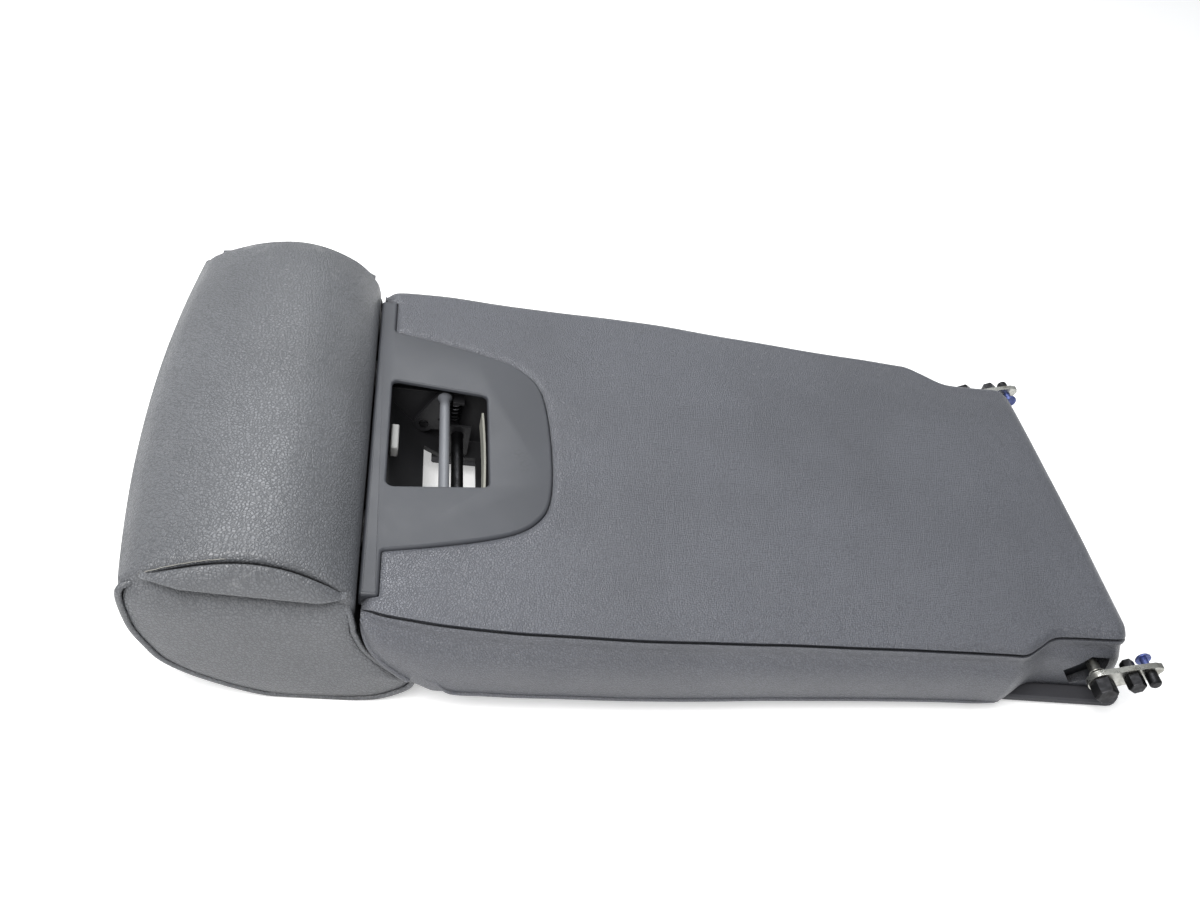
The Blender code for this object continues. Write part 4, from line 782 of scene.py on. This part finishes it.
def cover_section(x, width, drop, top, bottom):
    """One cross-section of the seat cover, with the seam under the rolled edge of its top."""
    depth = top - drop - bottom
    rise = min(PANEL_EDGE, EDGE_SHARE * depth)
    size = min(1.0, depth / FULL_SIDE)
    flat = width - PANEL_EDGE
    edge = top - drop - rise
    outwards = np.concatenate([np.linspace(0, 0.62, 26), np.linspace(0.64, 1.0, 30)])
    half = [(flat * t, top - drop * t**3) for t in outwards]
    last = math.radians(between(SEAM_TURNS, x))
    for turn in np.linspace(math.radians(84), last, 13):
        half.append((flat + PANEL_EDGE * math.cos(turn), edge + rise * math.sin(turn)))
    normal = np.array((math.cos(last), math.sin(last)))
    along = np.array((math.sin(last), -math.cos(last)))
    seam = np.array(half[-1])
    for step, deep in SEAM_GROOVE:
        half.append(tuple(seam + (along * step - normal * SEAM_DEPTH * deep) * size))
    start = seam + along * SEAM_WIDTH * size
    for t in np.linspace(0.0, 1.0, 18) ** 1.25 * SIDE_END:
        hollow = SEAM_SHADOW_BAND * math.exp(-((t - SEAM_SHADOW_PLACE) ** 2) / SEAM_SHADOW_SPREAD)
        bulge = PANEL_SIDE_BULGE * math.sin(math.pi * min(1.0, t * 1.02))
        out = (bulge - hollow * min(1.0, 8 * t)) * size
        shy = (width - start[0]) * (1 - t) ** SIDE_FALL
        half.append((width - shy + out - SIDE_TUCK * size * t, start[1] + (bottom - start[1]) * t))
    half += [(width - back, bottom + up) for back, up in BOTTOM_ROUND]
    half += [(t * width, bottom) for t in UNDERSIDE_SHARES]
    ring = [*half, *[(-y, z) for y, z in reversed(half[1:])]]
    weight = min(1.0, max(0.0, 1 - (PANEL_LENGTH - x) / PANEL_LEAN_SPAN))
    lean = between(PANEL_LEAN, x) / width
    return [(x + PANEL_END_LEAN * weight * (-z / PANEL_DEPTH), y + lean * abs(y), z) for y, z in ring]


def cover_rings():
    """The seat cover's cross-sections from its head end to its rounded hinge end."""
    first, last = PANEL_STATIONS[0][0], PANEL_STATIONS[-1][0]
    rings = []
    for x in np.concatenate([*[np.arange(*span) for span in COVER_SPANS], (last,)]):
        width = height_along(PANEL_STATIONS, x)
        drop = max(0.0, height_along(PANEL_STATIONS, x, column=2))
        top = -HEAD_ROUND * max(0.0, 1 - (x - first) / HEAD_ROUND_SPAN) ** 2
        rings.append(cover_section(x, width, drop, top, between(HEAD_PROFILE, x)))
    for turn in np.radians(np.linspace(9, 90, 10)):
        x = last + (PANEL_LENGTH - last) * math.sin(turn)
        fall = 1 - math.cos(turn)
        width = PANEL_STATIONS[-1][1] - PANEL_END_CORNER * fall
        drop = PANEL_STATIONS[-1][2] * (1 - fall)
        rings.append(cover_section(x, width, drop, -PANEL_END_EDGE * fall, -PANEL_DEPTH))
    return rings


def bezel_outline():
    """The bezel's outline seen from above, with its corners rounded."""
    curve = smooth_curve(BEZEL_CURVE, 8)
    level = float(np.interp(STRIP_WIDTH + INNER_CORNER, curve[:, 0], curve[:, 1]))
    end = STRIP_HALF - STRIP_CORNER
    half = [
        *arc((STRIP_CORNER, end), STRIP_CORNER, 180, 90, 5),
        *arc((STRIP_WIDTH - STRIP_CORNER, end), STRIP_CORNER, 90, 0, 5),
        *arc((STRIP_WIDTH + INNER_CORNER, level + INNER_CORNER), INNER_CORNER, 180, 270, 6),
        *[tuple(point) for point in curve if point[0] > STRIP_WIDTH + INNER_CORNER + 0.001],
    ]
    return mirrored(half)


def window_outline(grow=0.0):
    """The window's outline seen from above, grown outwards by a distance."""
    head = (WINDOW_START - grow, WINDOW_HALF_HEAD + grow)
    hinge = (WINDOW_END + grow, WINDOW_HALF_HINGE + grow)
    radius = WINDOW_CORNER + grow
    half = [
        *arc((hinge[0] - radius, hinge[1] - radius), radius, 0, 90, 8),
        *arc((head[0] + radius, head[1] - radius), radius, 90, 180, 8),
    ]
    return [*half, *[(x, -y) for x, y in reversed(half)]]


def head_sheet(thickness, outwards, bottom):
    """The head-end profile as a curved sheet's outline, down to a height."""
    curve = [(x, z) for x, z in HEAD_PROFILE if z > bottom]
    curve.append((between([(-z, x) for x, z in HEAD_PROFILE], -bottom), bottom))
    outer = [(x + outwards, z) for x, z in curve]
    inner = [(x + outwards + thickness, z) for x, z in curve]
    return [*outer, *reversed(inner)]


def round_bar(name, centre, radius, low, high):
    return prism(name, arc(centre, radius, 0, 360, 24)[:-1], low, high, "X")


def hollow_out(cover):
    """The cover's rooms for the bezel, the frame, the guide sleeves and the hinges."""
    change(cover, prism("cutter", inset(bezel_outline(), -FIT), DEEP, OVER))
    low = (-OVER, -STRIP_HALF - FIT, -BEZEL_DEPTH - FIT)
    change(cover, block("cutter", low, (STRIP_WIDTH + FIT, STRIP_HALF + FIT, OVER)))
    wall = head_sheet(AHEAD + BEZEL_WALL + FIT, -AHEAD, END_WALL_BOTTOM - FIT)
    change(cover, prism("cutter", wall, -STRIP_HALF - FIT, STRIP_HALF + FIT, "Y"))
    change(cover, block("cutter", *POCKET))
    for sign in (-1, 1):
        middle = sign * POST_HALF
        change(cover, round_bar("cutter", (middle, POST_Z), SLEEVE_ROOM, -OVER, SLEEVE_END))
        (x0, y0), (x1, y1) = SADDLE_ROOM
        change(cover, block("cutter", (x0, middle + y0, SADDLE_LOW), (x1, middle + y1, SADDLE_TOP)))
        low, high = (np.array(corner) for corner in BRACKET_ROOM)
        if sign < 0:
            low[1], high[1] = -high[1], -low[1]
        change(cover, block("cutter", low, high))
        ends = sorted(sign * side for side in PIVOT_OPENING_SIDES)
        change(cover, prism("cutter", PIVOT_OPENING, *ends, "Y"))


def distance_to(outline, points):
    """Distance from each point to a closed outline, and how far round the outline it is."""
    outline = np.array(outline, float)
    after = np.roll(outline, -1, axis=0)
    step = after - outline
    length = np.linalg.norm(step, axis=1)
    run = np.concatenate([[0.0], np.cumsum(length)[:-1]])
    best = np.full(len(points), np.inf)
    place = np.zeros(len(points))
    for start, way, size, begun in zip(outline, step, length, run):
        t = np.clip((points - start) @ way / max(size**2, 1e-18), 0, 1)
        away = np.linalg.norm(points - start - t[:, None] * way, axis=1)
        closer = away < best
        best[closer] = away[closer]
        place[closer] = begun + t[closer] * size
    return best, place


def local_points(piece):
    back = np.array(PANEL.inverted())
    return mesh_points(piece.data) @ back[:3, :3].T + back[:3, 3]


def set_local_points(piece, points):
    ahead = np.array(PANEL)
    piece.data.vertices.foreach_set("co", (points @ ahead[:3, :3].T + ahead[:3, 3]).ravel())
    piece.data.update()


def soften_lip(cover):
    """Rolls the leather down into the gap round the bezel, with small puckers along its far flank."""
    points = local_points(cover)
    away, run = distance_to(bezel_outline(), points[:, :2])
    crown = points[:, 2] > CROWN_LOW
    roll = np.clip(1 - away / LIP_REACH, 0, 1)
    drop = LIP_DROP * (1 - np.sqrt(np.clip(1 - roll**2, 0, 1)))
    # Waves about 4.3 mm and 2.7 mm long, which drift so that they aren't regular
    wave = np.sin(run * 1450 + 2.2 * np.sin(run * 310)) + 0.5 * np.sin(run * 2350 + 1.0)
    flank = np.where(points[:, 1] > 0, 1.0, NEAR_PUCKERS) * (points[:, 0] > STRIP_WIDTH + 0.004)
    fade = np.clip(1 - away / PUCKER_REACH, 0, 1) ** 2
    pucker = PUCKER * wave * flank * fade * np.clip(away / PUCKER_START, 0.3, 1)
    points[:, 2] += np.where(crown, pucker - drop, 0.0)
    set_local_points(cover, points)


def add_waves(piece, waves, keep=None):
    """Slow unevenness of stretched leather over foam."""
    amount, scale, seed = waves
    points = local_points(piece)
    shift = Vector((seed, seed * 0.37, seed * 0.71))
    lift = np.array([noise.noise(Vector(point) * scale + shift) for point in points])
    if keep is not None:
        lift = lift * keep(points)
    points[:, 2] += amount * lift
    set_local_points(piece, points)


def panel_edge_path(sign, inward, deep, lowest):
    """The panel's head-end edge seen from the side, as a path from its top corner down to a height."""
    profile = smooth_curve(HEAD_PROFILE, 8)
    step = np.gradient(profile, axis=0)
    step /= np.linalg.norm(step, axis=1)[:, None]
    normal = np.stack([-step[:, 1], step[:, 0]], axis=1)
    moved = profile + normal * inward
    path = []
    for x, z in moved:
        if z > BEAD_TOP or z < lowest:
            continue
        width = height_along(PANEL_STATIONS, max(PANEL_STATIONS[0][0], x))
        shy = PANEL_EDGE * BEAD_SHY * (1 + z / PANEL_DEPTH) ** SIDE_FALL
        path.append((x, sign * (width - deep - shy), z))
    return path


def seat_piping():
    """Beads round the panel's head-end corners and along the bottom of its sides."""
    cords = []
    for sign in (-1, 1):
        outer = panel_edge_path(sign, OUTER_BEAD_IN, OUTER_BEAD_DEEP, OUTER_BEAD_LOW)
        cords.append(tube("cord", outer, OUTER_BEAD))
        path = panel_edge_path(sign, INNER_BEAD_IN, INNER_BEAD_DEEP, INNER_BEAD_LOW)
        begun = path[-1][0] + BOTTOM_BEAD_STEP
        path = path[::3]
        for x in np.arange(begun, BOTTOM_BEAD_END, BOTTOM_BEAD_STEP)[::3]:
            y = sign * (height_along(PANEL_STATIONS, x) - BOTTOM_BEAD_DEEP) + between(PANEL_LEAN, x)
            path.append((x, y, -PANEL_DEPTH + BOTTOM_BEAD_RISE))
        cords.append(tube("cord", smooth_curve(path, 5), INNER_BEAD))
    return join("seat_piping", cords)


def build_seat():
    cover = loft("seat_cover", cover_rings())
    add_waves(cover, COVER_WAVES)
    hollow_out(cover)
    soften_lip(cover)
    finish_piece(cover, "backrest_panel", panel_leather_shaded)
    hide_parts("seat_pad")
    finish_piece(seat_piping(), "backrest_panel", panel_leather_shaded)


def rounding_steps(radius, count):
    """A rounded edge as pairs of a step to the side and a level, up to the top face."""
    turns = np.radians(np.linspace(0, 90, count))
    return [(radius * (1 - math.cos(a)), -radius * (1 - math.sin(a))) for a in turns]


def build_bezel():
    """The window's moulded surround, with its wall down the panel's head end and the sleeves' holes."""
    outline = bezel_outline()
    rings = [[(x, y, -BEZEL_DEPTH) for x, y in outline]]
    for step, level in rounding_steps(BEZEL_ROUND, 7):
        rings.append([(x, y, level) for x, y in inset(outline, step)])
    bezel = loft("bezel_trim", rings)
    change(bezel, prism("cutter", inset(outline, BEZEL_WALL), -BEZEL_DEPTH - OVER, -BEZEL_WALL))
    wall = head_sheet(BEZEL_WALL, 0.0, END_WALL_BOTTOM)
    wall = [(x, min(z, -BEZEL_ROUND)) for x, z in wall]
    wall = prism("cutter", wall, -STRIP_HALF + STRIP_CORNER, STRIP_HALF - STRIP_CORNER, "Y")
    change(bezel, wall, "UNION")
    window = [[(x, y, -AHEAD) for x, y in window_outline()]]
    for step, level in rounding_steps(WINDOW_ROUND, 6):
        window.append([(x, y, level) for x, y in window_outline(step)])
    window.append([(x, y, OVER) for x, y in window_outline(WINDOW_ROUND)])
    change(bezel, loft("cutter", window))
    for sign in (-1, 1):
        change(bezel, round_bar("cutter", (sign * POST_HALF, POST_Z), SLEEVE_ROOM, -AHEAD, 0.03))
    finish_piece(bezel, "backrest_panel", bezel_plastic, angle=30)
    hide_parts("bezel")


def build_window_foam():
    """The pale strip of foam that lines the hinge side of the window."""
    rings = []
    for y in np.linspace(*FOAM_ENDS, 24):
        front = WINDOW_END - FOAM_IN + FOAM_BOW * (1 - (y / FOAM_HALF) ** 2)
        back = front + FOAM_THICK
        rings.append([(front, y, FOAM_LOW), (back, y, FOAM_LOW), (back, y, FOAM_TOP), (front, y, FOAM_TOP)])
    foam = loft("window_foam", rings)
    finish_piece(foam, "backrest_panel", foam_finish)


def rest_outline(y, round_in=0.0):
    """The head restraint's side outline at a distance from its middle."""
    crest = smooth_curve(CREST, 6)
    left, right = crest[0], crest[-1]
    reach = abs(y)
    rise = 1 - (1 - REST_SEAM_RISE) * (reach / REST_SEAM) ** REST_RISE_POWER
    share = (crest[:, 0] - left[0]) / (right[0] - left[0])
    chord = left + share[:, None] * (right - left)
    top = chord + (crest - chord) * rise
    under = smooth_curve([CREST[-1], *REST_UNDER, *REST_LIP, *REST_BELLY, CREST[0]], 5)[1:-1]
    ring = np.vstack([top, under])
    bow = REST_BOW * (1 - (reach / REST_HALF) ** 2) - REST_END_IN
    ring[:, 0] -= bow * np.clip((REST_BOW_START - ring[:, 0]) / (REST_BOW_START - left[0]), 0, None)
    return inset(ring, round_in) if round_in else ring


def rest_wrap():
    """The middle wrap of the head restraint, rolled in at both end seams."""
    places = [*np.linspace(0, WRAP_MIDDLE, 22), *np.linspace(WRAP_OUTER, REST_SEAM - REST_ROUND, 9)]
    stations = [(y, 0.0) for y in places]
    for turn in np.radians((15, 30, 45, 60, 75, 88)):
        stations.append((REST_SEAM - REST_ROUND * (1 - math.sin(turn)), REST_ROUND * (1 - math.cos(turn))))
    both = [(-y, r) for y, r in reversed(stations[1:])] + stations
    rings = [[(x, y, z) for x, z in rest_outline(y, r)] for y, r in both]
    return loft("rest_wrap", rings)


def end_face():
    """The end seams' outline, with the places of its first and last point above the crease."""
    ring = rest_outline(REST_SEAM - SEAM_BACK)
    crest = ring[: len(smooth_curve(CREST, 6))]
    (x0, z0), (x1, z1) = CREASE_LINE
    above = np.nonzero(crest[:, 1] > z0 + (crest[:, 0] - x0) * (z1 - z0) / (x1 - x0))[0]
    return ring, above[0], above[-1]


def lens_panel(sign):
    """The narrow upper end panel: it swells from the arched seam to a lip that stands over the crease."""
    ring, first, last = end_face()
    left, right = ring[first], ring[last]
    rings = []
    for point in ring[first + 1 : last]:
        t = (point[0] - left[0]) / (right[0] - left[0])
        chord = left + t * (right - left)
        rise = np.linalg.norm(point - chord)
        up = (point - chord) / max(rise, 1e-9)
        swell = min(1.0, rise / LENS_SWELL_SPAN)
        section = []
        for out, lower, level in LENS_PROFILE:
            place = chord + up * max(rise - lower, LENS_LEAST_RISE * rise) * level
            share = LENS_LEAST_SWELL + (1 - LENS_LEAST_SWELL) * swell
            reach = LENS_ROOT + (out - LENS_ROOT) * share
            section.append((place[0], sign * reach, place[1]))
        rings.append(section)
    return loft(f"{'near' if sign < 0 else 'far'}_end_upper", rings)


def end_outline():
    """The lower end panel's outline, seen from the side, below the crease."""
    ring, first, last = end_face()
    left, right = ring[first], ring[last]
    edge = []
    for along, t in zip(np.linspace(0, 1, CREASE_POINTS + 2)[1:-1], np.linspace(0, 1, CREASE_POINTS)):
        x, z = left + (right - left) * along
        edge.append((x, z - CREASE_GAP * min(1.0, 6 * t, 6 * (1 - t))))
    return np.vstack([edge, ring[last:], ring[: first + 1]])


def end_panel(sign):
    """The lower end panel: a shallow pillow that goes in under the upper panel's lip."""
    outline = end_outline()
    left, right = outline[-1], outline[CREASE_POINTS - 1]
    along = (right - left) / np.linalg.norm(right - left)
    down = np.array((along[1], -along[0]))
    centre = np.array(END_PANEL_CENTRE)
    rings = []
    for scale, y in END_PANEL_LEVELS:
        ring = centre + (inset(outline, END_PANEL_INSET) - centre) * scale
        below = np.clip((ring - left) @ down, 0, None)
        tuck = CREASE_DEPTH * np.clip(1 - below / CREASE_REACH, 0, 1) ** 2
        rings.append([(x, sign * (y - deep), z) for (x, z), deep in zip(ring, tuck)])
    return loft(f"{'near' if sign < 0 else 'far'}_end_lower", rings)


def rest_piping():
    """A bead round the left, lower and right edges of each lower end panel."""
    ring, first, last = end_face()
    line = inset(ring, END_BEAD * END_BEAD_IN)
    way = outline_normals(ring)
    line, way = (np.vstack([part[last + 5 :], part[: first - 2]]) for part in (line, way))
    ends = np.minimum(np.arange(len(line)), np.arange(len(line))[::-1])
    tuck = END_BEAD_TUCK * np.clip(1 - ends / END_BEAD_TIP, 0, 1)
    line = line + way * tuck[:, None]
    lowest = min(point[1] for point in REST_BELLY)
    line[:, 1] = np.maximum(line[:, 1], lowest + END_BEAD)
    cords = []
    for sign in (-1, 1):
        path = [(x, sign * (END_BEAD_Y - deep), z) for (x, z), deep in zip(line, tuck)]
        cords.append(tube("cord", path, END_BEAD))
    return join("rest_piping", cords)


def rest_thread():
    """The thread that shows in the left part of each arched seam."""
    ring = rest_outline(REST_SEAM)
    count = len(smooth_curve(CREST, 6))
    top = inset(ring, THREAD_IN)[end_face()[1] : int(count * THREAD_SHARE)]
    cords = []
    for sign in (-1, 1):
        path = []
        for k, (x, z) in enumerate(top):
            path.append((x, sign * (THREAD_Y + THREAD_SWAY * math.sin(k * 1.9)), z))
        cords.append(tube("cord", path, THREAD, sides=6))
    return join("rest_thread", cords)


def above_ground(points):
    """0 at the head restraint's underside, so that it stays on the ground, and 1 further up."""
    return np.clip((points[:, 2] - REST_STILL) / REST_STILL_SPAN, 0, 1)


def build_head_restraint():
    """The head restraint's wrap, its end panels, beads and thread, with rooms for the sleeves' collars."""
    wrap = rest_wrap()
    add_waves(wrap, REST_WAVES, above_ground)
    half_y, half_z = COLLAR_ROOM
    for sign, extra in ((-1, BUTTON_ROOM), (1, 0.0)):
        low, high = sorted((sign * (POST_HALF - half_y), sign * (POST_HALF + half_y + extra)))
        room = block("cutter", (COLLAR_ROOM_START, low, POST_Z - half_z), (AHEAD, high, POST_Z + half_z))
        change(wrap, room)
    finish_piece(wrap, "head_restraint", rest_leather_lit)
    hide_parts("head_restraint_cushion")
    for sign in (-1, 1):
        for panel in (lens_panel(sign), end_panel(sign)):
            finish_piece(panel, "head_restraint", rest_leather_lit)
    finish_piece(rest_piping(), "head_restraint", rest_leather_lit)
    finish_piece(rest_thread(), "head_restraint", thread_finish)


def dress(name, finish, edge=NODE_EDGE):
    """Gives a node of the frame its finish and small rounded edges."""
    node = frame["nodes"][name]
    for slot in node.material_slots:
        slot.material = finish
    if edge:
        weld = node.modifiers.new("weld", "WELD")
        weld.merge_threshold = WELD_GAP
        rounding = node.modifiers.new("edges", "BEVEL")
        rounding.width = edge
        rounding.segments = 2
        rounding.limit_method = "ANGLE"
        rounding.angle_limit = math.radians(SHARP_ANGLE)
        shading = node.modifiers.new("shading", "WEIGHTED_NORMAL")
        shading.keep_sharp = False


def dress_frame():
    """Finishes for the frame's own pieces; the spring's fine coil gets no rounded edges."""
    for name, node in frame["nodes"].items():
        if name == "lever_spring":
            dress(name, finishes["dark_steel"], edge=0)
            continue
        given = node.material_slots[0].material.name.split(".")[0] if node.material_slots else ""
        if given in finishes:
            dress(name, finishes[given])


def place_camera():
    lens = bpy.data.cameras.new("camera")
    lens.lens = LENS
    lens.sensor_width = SENSOR
    lens.clip_start = 0.01
    lens.clip_end = 20
    camera = in_scene("camera", lens)
    right, down, forward = (Vector(v) for v in (CAMERA_RIGHT, CAMERA_DOWN, CAMERA_FORWARD))
    turn = Matrix((right, -down, -forward)).transposed()
    camera.matrix_world = PANEL @ Matrix.Translation(CAMERA_PLACE) @ turn.to_4x4()
    bpy.context.scene.camera = camera


def area_light(name, place, target, size, energy, colour):
    lamp = bpy.data.lights.new(name, "AREA")
    lamp.shape = "RECTANGLE"
    lamp.size, lamp.size_y = size
    lamp.energy = energy
    lamp.color = colour
    light = in_scene(name, lamp)
    light.location = place
    aim = Vector(target) - Vector(place)
    light.rotation_euler = aim.to_track_quat("-Z", "Y").to_euler()


def seen_rays(tree):
    """1 for what the camera sees, straight or in a reflection or through glass."""
    path = tree.nodes.new("ShaderNodeLightPath")
    total = path.outputs["Is Camera Ray"]
    for name in ("Is Glossy Ray", "Is Transmission Ray"):
        larger = tree.nodes.new("ShaderNodeMath")
        larger.operation = "MAXIMUM"
        tree.links.new(total, larger.inputs[0])
        tree.links.new(path.outputs[name], larger.inputs[1])
        total = larger.outputs[0]
    return total


def set_world():
    """A soft fill, and white behind the part for the camera."""
    world = bpy.data.worlds.new("studio")
    bpy.context.scene.world = world
    world.use_nodes = True
    tree = world.node_tree
    tree.nodes.clear()
    path = tree.nodes.new("ShaderNodeLightPath")
    choose = tree.nodes.new("ShaderNodeMixShader")
    out = tree.nodes.new("ShaderNodeOutputWorld")
    tree.links.new(path.outputs["Is Camera Ray"], choose.inputs[0])
    for socket, colour, strength in ((1, WORLD_COLOUR, WORLD_FILL), (2, WHITE, 1.0)):
        sky = tree.nodes.new("ShaderNodeBackground")
        sky.inputs["Color"].default_value = colour
        sky.inputs["Strength"].default_value = strength
        tree.links.new(sky.outputs[0], choose.inputs[socket])
    tree.links.new(choose.outputs[0], out.inputs["Surface"])


def build_floor():
    """The plain white ground, lifted to white for what the camera sees, with the part's shadow kept."""
    mesh = bpy.data.meshes.new("floor")
    corners = [(x * FLOOR_HALF, y * FLOOR_HALF, 0) for x, y in ((-1, -1), (1, -1), (1, 1), (-1, 1))]
    mesh.from_pydata(corners, [], [(0, 1, 2, 3)])
    floor = in_scene("floor", mesh)
    made = bpy.data.materials.new("white_ground")
    made.use_nodes = True
    tree = made.node_tree
    main = tree.nodes["Principled BSDF"]
    main.inputs["Base Color"].default_value = FLOOR_COLOUR
    main.inputs["Roughness"].default_value = 0.9
    main.inputs["Specular IOR Level"].default_value = 0.1
    main.inputs["Emission Color"].default_value = WHITE
    lift = tree.nodes.new("ShaderNodeMath")
    lift.operation = "MULTIPLY"
    tree.links.new(seen_rays(tree), lift.inputs[0])
    lift.inputs[1].default_value = FLOOR_LIFT
    tree.links.new(lift.outputs[0], main.inputs["Emission Strength"])
    mesh.materials.append(made)


# The head restraint's leather has a lighter base colour than the panel's: painted light on the head
# restraint, painted shade on the panel
panel_leather_shaded = leather("panel_leather_shaded", srgb(92, 94, 101), 680.0, lint=0.012)
rest_leather_lit = leather(
    "rest_leather_lit",
    srgb(98, 100, 104),
    520.0,
    scuffs=(
        ((-0.085, 0.128, 0.026), 0.030, 0.30),
        ((-0.040, 0.120, 0.034), 0.030, 0.22),
        ((-0.055, -0.147, 0.022), 0.012, 0.7),
    ),
)
bezel_plastic = moulded(
    "bezel_plastic",
    srgb(64, 66, 71),
    0.46,
    smudges=(((0.0905, -0.012, 0.0), 0.009, 0.30), ((0.0935, -0.022, 0.0), 0.008, 0.30)),
)
foam_finish = moulded("window_foam", srgb(150, 150, 141), 0.8, texture=1200.0, depth=0.0003)
thread_finish = moulded("seam_thread", srgb(150, 148, 142), 0.7, texture=4000.0)

# Finishes for the frame's own pieces, by the names of their materials there
finishes = {
    "board_covering": moulded("board_covering", srgb(62, 62, 66), 0.7, texture=900.0, depth=0.0002),
    "black_plastic": moulded("black_plastic", srgb(34, 34, 36), 0.45),
    "grey_plastic": moulded("grey_plastic", srgb(158, 158, 156), 0.5),
    "bezel_plastic": lever_look(srgb(112, 114, 119), srgb(34, 34, 36)),
    "rod_steel": metal("rod_steel", srgb(196, 196, 194), 0.22, srgb(120, 118, 112)),
    "frame_steel": metal("frame_steel", srgb(60, 62, 66), 0.42, srgb(38, 36, 34)),
    "zinc_plated_steel": metal("zinc_plated_steel", srgb(188, 188, 182), 0.30, srgb(110, 104, 92)),
    "dark_steel": metal("dark_steel", srgb(58, 58, 60), 0.40, srgb(34, 32, 30)),
    "blue_marked_steel": metal("blue_marked_steel", srgb(96, 108, 166), 0.42, srgb(70, 70, 80), 0.7),
}

build_seat()
build_bezel()
build_window_foam()
build_head_restraint()
dress_frame()
place_camera()
set_world()
build_floor()
for lamp in LAMPS:
    area_light(*lamp)

bpy.context.scene.view_settings.view_transform = "Standard"
